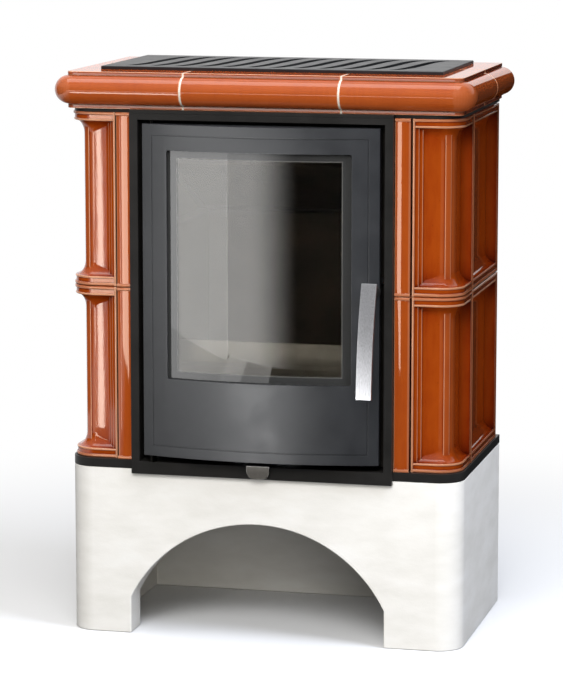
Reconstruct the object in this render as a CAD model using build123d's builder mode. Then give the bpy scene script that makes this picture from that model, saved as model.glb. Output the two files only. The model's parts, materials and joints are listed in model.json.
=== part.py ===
from build123d import *
import os
from math import asin, cos, radians, sin, sqrt

# Tiled wood stove: a rendered plinth with a wood store, a steel firebox behind a bowed glazed door, moulded
# tiles at the corners and sides, a half-round glazed cornice and a cast grille on top.
# Millimetres. X runs to the viewer's right, the door faces -Y and +Z is up. The origin is on the floor,
# under the middle of the stove.

# ---------------------------------------------------------------- driving dimensions

# plinth and base plate
body_width = 706.0
body_depth = 392.0
corner_radius = 45.0  # upright front corners
plinth_height = 298.5
plinth_wall = 58.0  # front and sides
plinth_back_wall = 32.0
plinth_ceiling = 40.0
arch_width = 458.0
arch_jamb_height = 66.0
arch_crown_height = 208.0
arch_shift = -10.0  # the arch sits a little to the left
base_thickness = 15.5
air_port_width = 96.0  # room air rises through the plinth here
air_port_depth = 100.0

# tiles
tile_height = 306.0
tile_gap = 1.0  # between the two rows, and under the top plate
tile_set_in = 7.0  # lips behind the front edge of the base plate
tile_side_set_in = 2.0
lip_radius = 43.0  # corner radius of the lips
tile_recess = 19.0  # shaft behind the lips
tile_wall = 9.5
rump_depth = 43.0  # from the lips to the hollow back's rim
rump_rim = 12.0
lip_height = 6.0
step_height = 6.5
step_recess = 2.5
bead_height = 4.0
cove_height = 25.0
strip_width = 27.0  # plain strip beside the frame
strip_proud = 6.0
strip_crown = 1.5
strip_nose = 3.0  # rounding of its outer edge
strip_lip_proud = 1.0  # in front of the strip, at its ends
groove_width = 2.5
groove_depth = 6.0
bead_width = 4.0
flute_count = 3
flutes_width = 17.5
flutes_drop = 16.5  # field behind the lips at its inner edge
flute_sag = 0.7
ledge_start = 20.0  # degrees round the corner
ledge_end = 47.0
ledge_height = 2.0
stile_width = 4.0
corner_tile_return = 113.0  # how far a corner tile reaches along the side
side_tile_length = 248.0

# cornice, top plate and grille
top_plate_thickness = 6.0
top_plate_set_in = 6.0
cornice_height = 64.0
cornice_set_in = 2.0
cornice_corner = 14.0  # corner radius of the cornice's fillets
cornice_fillet_height = 7.0
cornice_quirk = 2.0
cornice_flange_depth = 75.0  # from the fillet inwards
cornice_flange_thickness = 11.0
cornice_wall = 12.0
cornice_end_wall = 9.0
cornice_joint_x = 140.0
cornice_joint_y = 212.0  # behind the front of the plinth
cornice_length = 388.0
grout_width = 3.0
grout_recess = 0.8
grille_side_rest = 29.0  # resting on the cornice at each side
grille_depth = 291.0
grille_front_gap = 61.0
grille_thickness = 6.0
grille_border = 27.0
grille_slot_pitch = 43.0
grille_slot_width = 18.0
grille_slot_lean = 24.0
grille_slot_bend = 30.0
rear_rail_overlap = 24.0  # grille resting on the rear rail
sheet = 2.0

# front frame
frame_width = 468.0
frame_border = 15.0
frame_top_border = 11.0
frame_proud = 9.0  # in front of the plinth
frame_return = 21.0  # behind the front of the plinth
frame_channel = 8.0
sill_drop = 7.0  # below the top of the plinth

# firebox
front_plate_thickness = 4.0
front_plate_side_margin = 8.0
opening_half_width = 170.0
opening_sill = 36.0  # above the base plate
opening_head = 37.0  # below the top of the tiles
firebox_width = 410.0
firebox_depth = 310.0
firebox_lift = 31.0  # above the base plate
firebox_head = 22.0  # below the top of the tiles
firebox_wall = 4.0
flue_radius = 74.5  # outside of the spigot
flue_wall = 2.5
flue_drop = 79.0  # below the top of the firebox
flue_reach = 85.0  # behind the plinth
flue_flange = 16.0
back_panel_gap = 34.0  # behind the firebox
brick = 25.0
brick_gap = 0.5
brick_floor_lift = 82.0  # above the bottom of the firebox
brick_drop = 180.0  # side and back bricks below the top of the firebox
grate_width = 200.0
grate_depth = 130.0
grate_thickness = 12.0
grate_seat = 8.0
guard_height = 99.0
guard_thickness = 4.0
guard_bend_height = 54.0
guard_bend = 6.0
baffle_thickness = 20.0
baffle_lift = 5.0  # above the bricks
baffle_rise = 98.0
baffle_length = 215.0

# door
door_width = 421.0
door_bottom_gap = 12.0
door_top_gap = 6.5
door_edge_thickness = 20.0
door_bow_radius = 820.0
door_skin = 5.0
glass_half_width = 164.0  # the opening that shows glass
glass_bottom_border = 139.0
glass_top_border = 44.5
glass_lap = 7.5
glass_thickness = 4.0
glass_seal_thickness = 3.0
pocket_margin = 14.0
retainer_recess = 11.0
retainer_thickness = 3.0
line_inset = 18.0  # fine line round the door
line_width = 1.6
line_depth = 1.2
seal_centre_inset = 31.0
seal_width = 8.0
seal_channel = 4.0
seal_gap = 0.3  # between the rope seal and the front plate
hinge_x = -195.0
hinge_setback = 5.0  # behind the frame's front
hinge_pin_radius = 3.5
hinge_pin_reach = 20.0
running_gap = 0.05

# handle and latch
handle_x = 200.0
handle_pivot_height = 304.0  # above the bottom of the door
handle_width = 27.0
handle_thickness = 5.0
handle_top_above_pivot = 18.0
handle_length = 194.0
handle_top_standoff = 28.5  # from the door's edge to the back of the bar
handle_pivot_standoff = 35.5
handle_middle_standoff = 58.5
handle_bottom_standoff = 71.0
shaft_radius = 6.0
bush_wall = 2.0
rosette_radius = 13.0
rosette_height = 8.0
finger_reach = 15.0
finger_width = 7.0
finger_thickness = 3.0
finger_hub = 9.0
keeper_side_gap = 1.5  # between the finger and the keeper with the door unlatched
keeper_thickness = 2.0

# air control and ash pan
lever_width = 41.0
lever_x = -3.0
lever_thickness = 3.0
lever_drop = 25.0
lever_gap = 3.0
slide_width = 110.0
slide_length = 141.0
slide_lift = 0.6
slide_port_width = 80.0
slide_port_depth = 14.0
slide_port_pitch = 40.0
slide_travel = 20.0
air_box_lift = 4.5
pan_width = 260.0
pan_depth = 232.0
pan_height = 45.0
pan_front = 72.0
pan_lift = 3.5

# ---------------------------------------------------------------- places worked out from the sizes

half_width = body_width / 2
front = -body_depth / 2
rear = body_depth / 2
base_top = plinth_height + base_thickness

lip_x = half_width - tile_side_set_in
lip_y = front + tile_set_in
axis_x = lip_x - lip_radius  # upright axis of the rounded tile corner
axis_y = lip_y + lip_radius
shaft_radius_plan = lip_radius - tile_recess
shaft_x = lip_x - tile_recess
rump_x = lip_x - rump_depth
rump_y = lip_y + rump_depth
frame_half = frame_width / 2
tile_inner_x = frame_half + 0.5
corner_tile_end = front + corner_tile_return
side_tile_start = corner_tile_end + tile_gap
side_tile_end = side_tile_start + side_tile_length
tile_rows = {"lower": base_top, "upper": base_top + tile_height + tile_gap}
tiles_top = base_top + 2 * tile_height + tile_gap

cornice_low = tiles_top + top_plate_thickness
cornice_high = cornice_low + cornice_height
fillet_x = half_width - cornice_set_in
fillet_y = front + cornice_set_in
cornice_axis_x = fillet_x - cornice_corner
cornice_axis_y = fillet_y + cornice_corner
opening_x = fillet_x - cornice_flange_depth
opening_y = fillet_y + cornice_flange_depth
cornice_end = front + cornice_length
side_joint = front + cornice_joint_y
grille_width = 2 * (opening_x + grille_side_rest)
grille_front = front + grille_front_gap
grille_rear = grille_front + grille_depth
rail_front = grille_rear - rear_rail_overlap

frame_front = front - frame_proud
frame_back = front + frame_return
frame_inner = frame_half - frame_border
frame_low = plinth_height - sill_drop
sill_top = base_top
pin_seat = 0.75 * (sill_top - frame_low)
frame_inner_top = tiles_top - frame_top_border

opening_low = base_top + opening_sill
opening_high = tiles_top - opening_head
plate_back = frame_back + front_plate_thickness
firebox_rear = plate_back + firebox_depth
firebox_low = base_top + firebox_lift
firebox_high = tiles_top - firebox_head
flue_height = firebox_high - flue_drop
air_box_low = base_top + air_box_lift
port_middle = plate_back + 10 + slide_port_pitch  # middle of the three air ports
panel_y = firebox_rear + back_panel_gap
firebox_half = firebox_width / 2
lining_half = firebox_half - firebox_wall - brick_gap
lining_rear = firebox_rear - firebox_wall - brick_gap
brick_floor_top = firebox_low + brick_floor_lift
brick_top = firebox_high - brick_drop
floor_low = brick_floor_top - brick
baffle_rear_low = brick_top + baffle_lift
baffle_front_low = baffle_rear_low + baffle_rise

door_half = door_width / 2
door_low = sill_top + door_bottom_gap
door_high = frame_inner_top - door_top_gap
door_height = door_high - door_low
door_back = frame_front + door_edge_thickness
bow_centre = frame_front + sqrt(door_bow_radius**2 - door_half**2)
hinge_y = frame_front + hinge_setback
pocket_half = glass_half_width + glass_lap + 1.5
glass_low = door_low + glass_bottom_border
glass_high = door_high - glass_top_border
pocket_low = glass_low - pocket_margin
pocket_high = glass_high + pocket_margin
seal_half = door_half - seal_centre_inset
handle_pivot_y = door_back
handle_pivot_z = door_low + handle_pivot_height


def finish(piece, name):
    """Name a finished piece and write it to its own file."""
    piece.part.label = name
    export_step(piece.part, f"parts/{name}.step")


def facing(depth):
    """Upright plane that faces the viewer at a depth; what is extruded from it comes forward."""
    return Plane.XZ.offset(-depth)


def slab(x_span, y_span, z_span, mode=Mode.ADD):
    """Plain rectangular plate or bar between three pairs of limits."""
    middles = [(low + high) / 2 for low, high in (x_span, y_span, z_span)]
    lengths = [high - low for low, high in (x_span, y_span, z_span)]
    with Locations(tuple(middles)):
        return Box(*lengths, mode=mode)


def bow_depth(x, inset=0.0):
    """Depth of the door's bowed face at x, or of a face that lies inset behind it."""
    return bow_centre - sqrt((door_bow_radius - inset) ** 2 - x**2)


def bow_plan(half, inset, back_inset=None, back=None):
    """Plan between the bowed face at one inset and either a second bowed face or a flat back."""
    with BuildLine() as plan:
        bow = ThreePointArc(
            (-half, bow_depth(half, inset)), (0, bow_depth(0, inset)), (half, bow_depth(half, inset))
        )
        if back_inset is None:
            Polyline(bow @ 1, (half, back), (-half, back), bow @ 0)
        else:
            inner = ThreePointArc(
                (-half, bow_depth(half, back_inset)),
                (0, bow_depth(0, back_inset)),
                (half, bow_depth(half, back_inset)),
            )
            Line(bow @ 0, inner @ 0)
            Line(bow @ 1, inner @ 1)
    return plan.edges()


def body_outline():
    """Plan of the plinth and base plate: square at the back, rounded front corners."""
    with BuildLine() as outline:
        left = Line((-half_width, rear), (-half_width, front + corner_radius))
        left_round = RadiusArc(left @ 1, (-half_width + corner_radius, front), -corner_radius)
        face = Line(left_round @ 1, (half_width - corner_radius, front))
        right_round = RadiusArc(face @ 1, (half_width, front + corner_radius), -corner_radius)
        Polyline(right_round @ 1, (half_width, rear), (-half_width, rear))
    return outline.edges()


# ---------------------------------------------------------------- plinth and base plate


def make_plinth():
    arch_half = arch_width / 2
    inner_half = half_width - plinth_wall
    with BuildPart() as plinth:
        with BuildSketch():
            make_face(body_outline())
        extrude(amount=plinth_height)
        with BuildSketch():
            with Locations((0, (front + plinth_wall + rear - plinth_back_wall) / 2)):
                Rectangle(2 * inner_half, body_depth - plinth_wall - plinth_back_wall)
        extrude(amount=plinth_height - plinth_ceiling, mode=Mode.SUBTRACT)
        with BuildSketch(facing(front + plinth_wall)):
            with BuildLine():
                left = Line((arch_shift - arch_half, 0), (arch_shift - arch_half, arch_jamb_height))
                right = Line((arch_shift + arch_half, 0), (arch_shift + arch_half, arch_jamb_height))
                ThreePointArc(left @ 1, (arch_shift, arch_crown_height), right @ 1)
                Line(left @ 0, right @ 0)
            make_face()
        extrude(amount=plinth_wall, mode=Mode.SUBTRACT)
        with BuildSketch(Plane.XY.offset(plinth_height)):
            with Locations((0, port_middle)):
                Rectangle(air_port_width, air_port_depth)
        extrude(amount=-plinth_ceiling, mode=Mode.SUBTRACT)
    finish(plinth, "plinth")


def make_base_plate():
    with BuildPart() as base_plate:
        with BuildSketch(Plane.XY.offset(plinth_height)):
            make_face(body_outline())
            with Locations((0, port_middle)):
                Rectangle(air_port_width, air_port_depth, mode=Mode.SUBTRACT)
        extrude(amount=base_thickness)
    finish(base_plate, "base_plate")


# ---------------------------------------------------------------- tiles


def cove_arc(corner_x, corner_y, radius, towards):
    """Quarter-round hollow from the shaft's side face to a stile; towards is +1 or -1 along Y."""
    centre_x = corner_x + radius
    centre_y = corner_y - towards * radius
    slant = radius * sin(radians(45))
    return ThreePointArc(
        (corner_x, centre_y), (centre_x - slant, centre_y + towards * slant), (centre_x, corner_y)
    )


def corner_point(radius, degrees_round):
    """Point round the tile's upright corner axis; 0 faces the viewer and 90 faces the side."""
    turn = radians(degrees_round)
    return (axis_x + radius * sin(turn), axis_y - radius * cos(turn))


def corner_tile_plan():
    """Right corner tile between its mouldings: strip, groove, bead, flutes, field, ledge, corner and cove."""
    strip_end = tile_inner_x + strip_width
    bead_start = strip_end + groove_width
    bead_end = bead_start + bead_width
    bead_back = lip_y + 2.0
    field_start = (bead_end + flutes_width, lip_y + flutes_drop)
    cove_radius = tile_recess - 1.5
    stile_front = corner_tile_end - stile_width
    with BuildLine() as plan:
        strip = ThreePointArc(
            (tile_inner_x, lip_y - strip_proud + strip_crown),
            (tile_inner_x + strip_width / 2, lip_y - strip_proud),
            (strip_end - strip_nose, lip_y - strip_proud + strip_crown),
        )
        nose = TangentArc(
            strip @ 1, (strip_end, lip_y - strip_proud + strip_crown + strip_nose), tangent=strip % 1
        )
        groove = Polyline(
            nose @ 1,
            (strip_end + 0.5, lip_y + groove_depth),
            (bead_start - 0.5, lip_y + groove_depth),
            (bead_start, bead_back),
        )
        ThreePointArc(groove @ 1, (bead_start + bead_width / 2, lip_y - 0.5), (bead_end, bead_back))
        run = (field_start[0] - bead_end) / flute_count
        drop = (field_start[1] - bead_back) / flute_count
        for number in range(flute_count):
            start = (bead_end + number * run, bead_back + number * drop)
            middle = (start[0] + run / 2 - flute_sag, start[1] + drop / 2 + flute_sag)
            ThreePointArc(start, middle, (start[0] + run, start[1] + drop))
        ledge = ThreePointArc(
            corner_point(shaft_radius_plan + ledge_height, ledge_start + 2),
            corner_point(shaft_radius_plan + ledge_height, (ledge_start + ledge_end) / 2),
            corner_point(shaft_radius_plan + ledge_height, ledge_end),
        )
        Line(field_start, corner_point(shaft_radius_plan, 0))
        near = ThreePointArc(
            corner_point(shaft_radius_plan, 0),
            corner_point(shaft_radius_plan, ledge_start / 2),
            corner_point(shaft_radius_plan, ledge_start),
        )
        Line(near @ 1, ledge @ 0)
        turn = ThreePointArc(
            corner_point(shaft_radius_plan, ledge_end + 2),
            corner_point(shaft_radius_plan, (ledge_end + 92) / 2),
            corner_point(shaft_radius_plan, 90),
        )
        Line(ledge @ 1, turn @ 0)
        cove = cove_arc(shaft_x, stile_front, cove_radius, 1)
        Line(turn @ 1, cove @ 0)
        Polyline(
            cove @ 1,
            (lip_x - 1, stile_front),
            (lip_x, stile_front + 1),
            (lip_x, corner_tile_end),
            (rump_x, corner_tile_end),
            (rump_x, rump_y),
            (tile_inner_x, rump_y),
            strip @ 0,
        )
    return plan.edges()


def tile_moulding(floor_z):
    """Section of a tile's end moulding, outwards from the corner axis: lip, step, bead and cove."""
    step_top = lip_height + step_height
    bead_top = step_top + bead_height
    core = shaft_radius_plan - tile_wall / 2
    step_at = lip_radius - step_recess
    cove_top = floor_z + bead_top + cove_height
    with BuildLine() as section:
        lip = ThreePointArc(
            (lip_radius - 1.5, floor_z), (lip_radius, floor_z + lip_height / 2), (lip_radius - 1.5, floor_z + lip_height)
        )
        step = Polyline(lip @ 1, (step_at, floor_z + lip_height), (step_at, floor_z + step_top))
        bead = ThreePointArc(
            step @ 1, (step_at + 1.5, floor_z + step_top + bead_height / 2), (step_at, floor_z + bead_top)
        )
        cove = EllipticalCenterArc(
            (step_at, cove_top), step_at - shaft_radius_plan, cove_height, 180, arc_size=90
        )
        Polyline(cove @ 0, (core, cove_top), (core, floor_z), lip @ 0)
    return section.edges()


def strip_lip(floor_z):
    """Section of the rounded lip that closes a strip's end, outwards from the corner axis."""
    lip_front = lip_radius + strip_proud + strip_lip_proud
    lip_back = lip_radius - groove_depth
    with BuildLine() as section:
        lip = ThreePointArc(
            (lip_front - 1.5, floor_z), (lip_front, floor_z + lip_height / 2), (lip_front - 1.5, floor_z + lip_height)
        )
        Polyline(lip @ 1, (lip_back, floor_z + lip_height), (lip_back, floor_z), lip @ 0)
    return section.edges()


def make_corner_tile(row, floor_z):
    """One moulded tile that wraps round a front corner, and its mirror image."""
    moulding_start = tile_inner_x + strip_width + groove_width
    middle_z = floor_z + tile_height / 2
    hollow_radius = shaft_radius_plan - tile_wall
    with BuildPart() as right:
        with BuildSketch(Plane.XY.offset(floor_z)):
            make_face(corner_tile_plan())
        extrude(amount=tile_height / 2)
        with BuildSketch(Plane(origin=(axis_x, axis_y, 0), x_dir=(0, -1, 0), z_dir=(-1, 0, 0))):
            make_face(tile_moulding(floor_z))
        extrude(amount=axis_x - moulding_start)
        with BuildSketch(Plane(origin=(axis_x, axis_y, 0), x_dir=(0, -1, 0), z_dir=(-1, 0, 0))):
            make_face(tile_moulding(floor_z))
        revolve(axis=Axis((axis_x, axis_y, 0), (0, 0, 1)), revolution_arc=90)
        with BuildSketch(Plane(origin=(axis_x, axis_y, 0), x_dir=(1, 0, 0), z_dir=(0, -1, 0))):
            make_face(tile_moulding(floor_z))
        extrude(amount=axis_y - corner_tile_end)
        strip_end = moulding_start - groove_width
        with BuildSketch(Plane(origin=(strip_end, axis_y, 0), x_dir=(0, -1, 0), z_dir=(-1, 0, 0))):
            make_face(strip_lip(floor_z))
        extrude(amount=strip_width)
        with BuildSketch(Plane.XY.offset(floor_z + rump_rim)):
            with BuildLine():
                turn = RadiusArc((axis_x, axis_y - hollow_radius), (axis_x + hollow_radius, axis_y), -hollow_radius)
                Polyline(
                    turn @ 1,
                    (axis_x + hollow_radius, corner_tile_end - rump_rim),
                    (rump_x, corner_tile_end - rump_rim),
                    (rump_x, rump_y),
                    (tile_inner_x + rump_rim, rump_y),
                    (tile_inner_x + rump_rim, axis_y - hollow_radius),
                    turn @ 0,
                )
            make_face()
        extrude(amount=tile_height / 2 - rump_rim, mode=Mode.SUBTRACT)
        mirror(about=Plane.XY.offset(middle_z))
    finish(right, f"corner_tile_{row}_right")
    with BuildPart() as left:
        mirror(right.part, about=Plane.YZ)
    finish(left, f"corner_tile_{row}_left")


def make_side_tile(row, floor_z):
    """One coffered side tile, and its mirror image."""
    cove_radius = tile_recess - 1.5
    middle_z = floor_z + tile_height / 2
    with BuildPart() as right:
        with BuildSketch(Plane.XY.offset(floor_z)):
            with BuildLine():
                near = cove_arc(shaft_x, side_tile_start + stile_width, cove_radius, -1)
                far = cove_arc(shaft_x, side_tile_end - stile_width, cove_radius, 1)
                Line(near @ 0, far @ 0)
                Polyline(
                    far @ 1,
                    (lip_x - 1, side_tile_end - stile_width),
                    (lip_x, side_tile_end - stile_width + 1),
                    (lip_x, side_tile_end),
                    (rump_x, side_tile_end),
                    (rump_x, side_tile_start),
                    (lip_x, side_tile_start),
                    (lip_x, side_tile_start + stile_width - 1),
                    (lip_x - 1, side_tile_start + stile_width),
                    near @ 1,
                )
            make_face()
        extrude(amount=tile_height / 2)
        with BuildSketch(Plane(origin=(axis_x, side_tile_start, 0), x_dir=(1, 0, 0), z_dir=(0, -1, 0))):
            make_face(tile_moulding(floor_z))
        extrude(amount=-side_tile_length)
        slab(
            (rump_x, shaft_x - tile_wall),
            (side_tile_start + rump_rim, side_tile_end - rump_rim),
            (floor_z + rump_rim, middle_z),
            mode=Mode.SUBTRACT,
        )
        mirror(about=Plane.XY.offset(middle_z))
    finish(right, f"side_tile_{row}_right")
    with BuildPart() as left:
        mirror(right.part, about=Plane.YZ)
    finish(left, f"side_tile_{row}_left")


def make_tile_posts():
    """Four steel angles that the tiles' hollow backs lean on."""
    leg = 30.0
    height = tiles_top - base_top
    corners = [
        ((tile_inner_x, rump_y), (1, 1)),
        ((rump_x, panel_y), (-1, -1)),
    ]
    with BuildPart() as tile_posts:
        with BuildSketch(Plane.XY.offset(base_top)):
            for (x, y), (across, along) in corners:
                for side in (-1, 1):
                    with BuildLine():
                        Polyline(
                            (side * x, y),
                            (side * (x + across * leg), y),
                            (side * (x + across * leg), y + along * sheet),
                            (side * (x + across * sheet), y + along * sheet),
                            (side * (x + across * sheet), y + along * leg),
                            (side * x, y + along * leg),
                            close=True,
                        )
                    make_face()
        extrude(amount=height)
    finish(tile_posts, "tile_posts")


# ---------------------------------------------------------------- top plate, cornice and grille


def make_top_plate():
    """Thin plate under the cornice, open in the middle for warm air, with a tongue over the frame."""
    radius = corner_radius - top_plate_set_in
    with BuildPart() as top_plate:
        with BuildSketch(Plane.XY.offset(tiles_top)):
            with Locations((0, (front + top_plate_set_in + cornice_end) / 2)):
                Rectangle(body_width - 2 * top_plate_set_in, cornice_end - front - top_plate_set_in)
            fillet(sketch_corners(front + top_plate_set_in), radius=radius)
            with Locations((0, (frame_front + opening_y) / 2)):
                Rectangle(frame_width, opening_y - frame_front)
            with Locations((0, (opening_y + rail_front) / 2)):
                Rectangle(2 * opening_x, rail_front - opening_y, mode=Mode.SUBTRACT)
        extrude(amount=top_plate_thickness)
    finish(top_plate, "top_plate")


def sketch_corners(depth):
    """Corners of the sketch in hand that lie at one depth."""
    sketch = BuildSketch._get_context()
    return [corner for corner in sketch.vertices() if abs(corner.Y - depth) < 0.01]


def cornice_section(recess=0.0):
    """Section of the cornice's outer wall, outwards from its corner axis."""
    quirk_at = cornice_corner - cornice_quirk - recess
    fillet_at = cornice_corner - recess
    low = cornice_low + cornice_fillet_height
    high = cornice_high - cornice_fillet_height
    bulge = (high - low) / 2
    with BuildLine() as section:
        roll = ThreePointArc((quirk_at, low), (quirk_at + bulge, (low + high) / 2), (quirk_at, high))
        Polyline(
            roll @ 1,
            (fillet_at, high),
            (fillet_at, cornice_high - recess),
            (cornice_corner - cornice_wall, cornice_high - recess),
            (cornice_corner - cornice_wall, cornice_low),
            (fillet_at, cornice_low),
            (fillet_at, low),
            roll @ 0,
        )
    return section.edges()


def cornice_flanges():
    """Heights at which the cornice's two inner flanges start."""
    return (cornice_low, cornice_high - cornice_flange_thickness)


cornice_front_plane = Plane(origin=(cornice_axis_x, cornice_axis_y, 0), x_dir=(0, -1, 0), z_dir=(-1, 0, 0))
cornice_side_plane = Plane(origin=(cornice_axis_x, cornice_axis_y, 0), x_dir=(1, 0, 0), z_dir=(0, -1, 0))
flange_root = cornice_corner - cornice_wall + 2.0


def make_cornice():
    joint_x = cornice_joint_x + grout_width / 2
    joint_near = side_joint - grout_width / 2
    joint_far = side_joint + grout_width / 2
    with BuildPart() as cornice_front:
        with BuildSketch(cornice_front_plane.offset(cornice_axis_x - cornice_joint_x + grout_width / 2)):
            make_face(cornice_section())
        extrude(amount=2 * cornice_joint_x - grout_width)
        for height in cornice_flanges():
            slab(
                (grout_width / 2 - cornice_joint_x, cornice_joint_x - grout_width / 2),
                (cornice_axis_y - flange_root, opening_y),
                (height, height + cornice_flange_thickness),
            )
    finish(cornice_front, "cornice_front")
    with BuildPart() as corner:
        with BuildSketch(cornice_front_plane):
            make_face(cornice_section())
        extrude(amount=cornice_axis_x - joint_x)
        with BuildSketch(cornice_front_plane):
            make_face(cornice_section())
        revolve(axis=Axis((cornice_axis_x, cornice_axis_y, 0), (0, 0, 1)), revolution_arc=90)
        with BuildSketch(cornice_side_plane):
            make_face(cornice_section())
        extrude(amount=cornice_axis_y - joint_near)
        for height in cornice_flanges():
            with BuildSketch(Plane.XY.offset(height)):
                with BuildLine():
                    Polyline(
                        (joint_x, cornice_axis_y - flange_root),
                        (cornice_axis_x + flange_root, cornice_axis_y - flange_root),
                        (cornice_axis_x + flange_root, joint_near),
                        (opening_x, joint_near),
                        (opening_x, opening_y),
                        (joint_x, opening_y),
                        close=True,
                    )
                make_face()
            extrude(amount=cornice_flange_thickness)
    with BuildPart() as side:
        with BuildSketch(cornice_side_plane.offset(cornice_axis_y - joint_far)):
            make_face(cornice_section())
        extrude(amount=joint_far - cornice_end)
        for height in cornice_flanges():
            slab(
                (opening_x, cornice_axis_x + flange_root),
                (joint_far, cornice_end),
                (height, height + cornice_flange_thickness),
            )
        slab(
            (opening_x, cornice_axis_x + flange_root),
            (cornice_end - cornice_end_wall, cornice_end),
            (cornice_low, cornice_high),
        )
    for name, piece in (("cornice_corner", corner), ("cornice_side", side)):
        finish(piece, f"{name}_right")
        with BuildPart() as left:
            mirror(piece.part, about=Plane.YZ)
        finish(left, f"{name}_left")


def make_cornice_joints():
    """Four thin slices of grout, a little behind the glaze."""
    with BuildPart() as cornice_joints:
        with BuildSketch(cornice_front_plane.offset(cornice_axis_x - cornice_joint_x - grout_width / 2)):
            make_face(cornice_section(grout_recess))
        extrude(amount=grout_width)
        slab(
            (cornice_joint_x - grout_width / 2, cornice_joint_x + grout_width / 2),
            (cornice_axis_y - flange_root, opening_y),
            (cornice_high - cornice_flange_thickness, cornice_high - grout_recess),
        )
        with BuildSketch(cornice_side_plane.offset(cornice_axis_y - side_joint - grout_width / 2)):
            make_face(cornice_section(grout_recess))
        extrude(amount=grout_width)
        slab(
            (opening_x, cornice_axis_x + flange_root),
            (side_joint - grout_width / 2, side_joint + grout_width / 2),
            (cornice_high - cornice_flange_thickness, cornice_high - grout_recess),
        )
        mirror(about=Plane.YZ)
    finish(cornice_joints, "cornice_joints")


def make_rear_rail():
    """Folded channel between the cornice's ends; the grille's rear edge rests on it."""
    with BuildPart() as rear_rail:
        with BuildSketch(Plane.YZ):
            with BuildLine():
                Polyline(
                    (rail_front, cornice_low),
                    (rail_front, cornice_high),
                    (cornice_end, cornice_high),
                    (cornice_end, cornice_low),
                    (cornice_end - sheet, cornice_low),
                    (cornice_end - sheet, cornice_high - sheet),
                    (rail_front + sheet, cornice_high - sheet),
                    (rail_front + sheet, cornice_low),
                    close=True,
                )
            make_face()
        extrude(amount=opening_x, both=True)
    finish(rear_rail, "rear_rail")


def make_top_grille():
    """Flat cast grille; its slots lean back to the right in an S."""
    slot_length = grille_depth - 2 * grille_border
    slot_span = grille_width - 2 * grille_border - 2 * grille_slot_lean
    slot_count = int((slot_span - grille_slot_width) / grille_slot_pitch) + 1
    centre_y = (grille_front + grille_rear) / 2
    with BuildPart() as top_grille:
        with BuildSketch(Plane.XY.offset(cornice_high)):
            with Locations((0, centre_y)):
                Rectangle(grille_width, grille_depth)
                with GridLocations(grille_slot_pitch, 1, slot_count, 1):
                    add(grille_slot(slot_length), mode=Mode.SUBTRACT)
        extrude(amount=grille_thickness)
        chamfer(top_grille.faces().sort_by(Axis.Z)[-1].outer_wire().edges(), length=1.0)
    finish(top_grille, "top_grille")


def grille_slot(length):
    """One S-shaped slot, centred on the origin."""
    half = length / 2
    with BuildSketch() as slot:
        with BuildLine():
            sides = []
            for offset_x in (-grille_slot_width / 2, grille_slot_width / 2):
                sides.append(
                    Bezier(
                        (offset_x - grille_slot_lean, -half),
                        (offset_x + grille_slot_lean - grille_slot_bend / 2, grille_slot_bend - half),
                        (offset_x - grille_slot_lean + grille_slot_bend / 2, half - grille_slot_bend),
                        (offset_x + grille_slot_lean, half),
                    )
                )
            Line(sides[0] @ 0, sides[1] @ 0)
            Line(sides[0] @ 1, sides[1] @ 1)
        make_face()
    return slot.sketch


# ---------------------------------------------------------------- front frame and firebox


def make_front_frame():
    """Frame round the door: a channel at the sides and top, a solid sill in front of the base plate."""
    with BuildPart() as front_frame:
        with BuildSketch(facing(frame_back)):
            with Locations((0, (frame_low + tiles_top) / 2)):
                Rectangle(frame_width, tiles_top - frame_low)
            with Locations((0, (sill_top + frame_inner_top) / 2)):
                Rectangle(2 * frame_inner, frame_inner_top - sill_top, mode=Mode.SUBTRACT)
        extrude(amount=frame_proud + frame_return)
        slab((-frame_half, frame_half), (front, frame_back), (frame_low, base_top), mode=Mode.SUBTRACT)
        for side in (-1, 1):
            middle = side * (frame_inner + frame_border / 2)
            slab(
                (middle - frame_channel / 2, middle + frame_channel / 2),
                (frame_front + frame_border / 3, frame_back),
                (base_top + frame_border, tiles_top - frame_border),
                mode=Mode.SUBTRACT,
            )
        for height, depth, reach in (
            (sill_top, pin_seat, Align.MAX),
            (frame_inner_top, frame_top_border * 0.75, Align.MIN),
        ):
            with Locations((hinge_x, hinge_y, height)):
                Cylinder(
                    hinge_pin_radius, depth, align=(Align.CENTER, Align.CENTER, reach), mode=Mode.SUBTRACT
                )
    finish(front_frame, "front_frame")


def make_hinge_pins():
    """Two upright pins: the lower one has a shoulder that carries the door."""
    shoulder_top = door_low - 0.3
    with BuildPart() as hinge_pins:
        with BuildSketch(Plane.XZ.offset(-hinge_y)):
            with BuildLine():
                Polyline(
                    (hinge_x, sill_top - pin_seat),
                    (hinge_x + hinge_pin_radius, sill_top - pin_seat),
                    (hinge_x + hinge_pin_radius, sill_top),
                    (hinge_x + hinge_pin_radius + 2.5, sill_top),
                    (hinge_x + hinge_pin_radius + 2.5, shoulder_top),
                    (hinge_x + hinge_pin_radius, shoulder_top),
                    (hinge_x + hinge_pin_radius, door_low + hinge_pin_reach),
                    (hinge_x, door_low + hinge_pin_reach),
                    close=True,
                )
            make_face()
        revolve(axis=Axis((hinge_x, hinge_y, 0), (0, 0, 1)))
        with Locations((hinge_x, hinge_y, door_high - hinge_pin_reach)):
            Cylinder(
                hinge_pin_radius,
                frame_inner_top + frame_top_border * 0.75 - door_high + hinge_pin_reach,
                align=(Align.CENTER, Align.CENTER, Align.MIN),
            )
    finish(hinge_pins, "hinge_pins")


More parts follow.
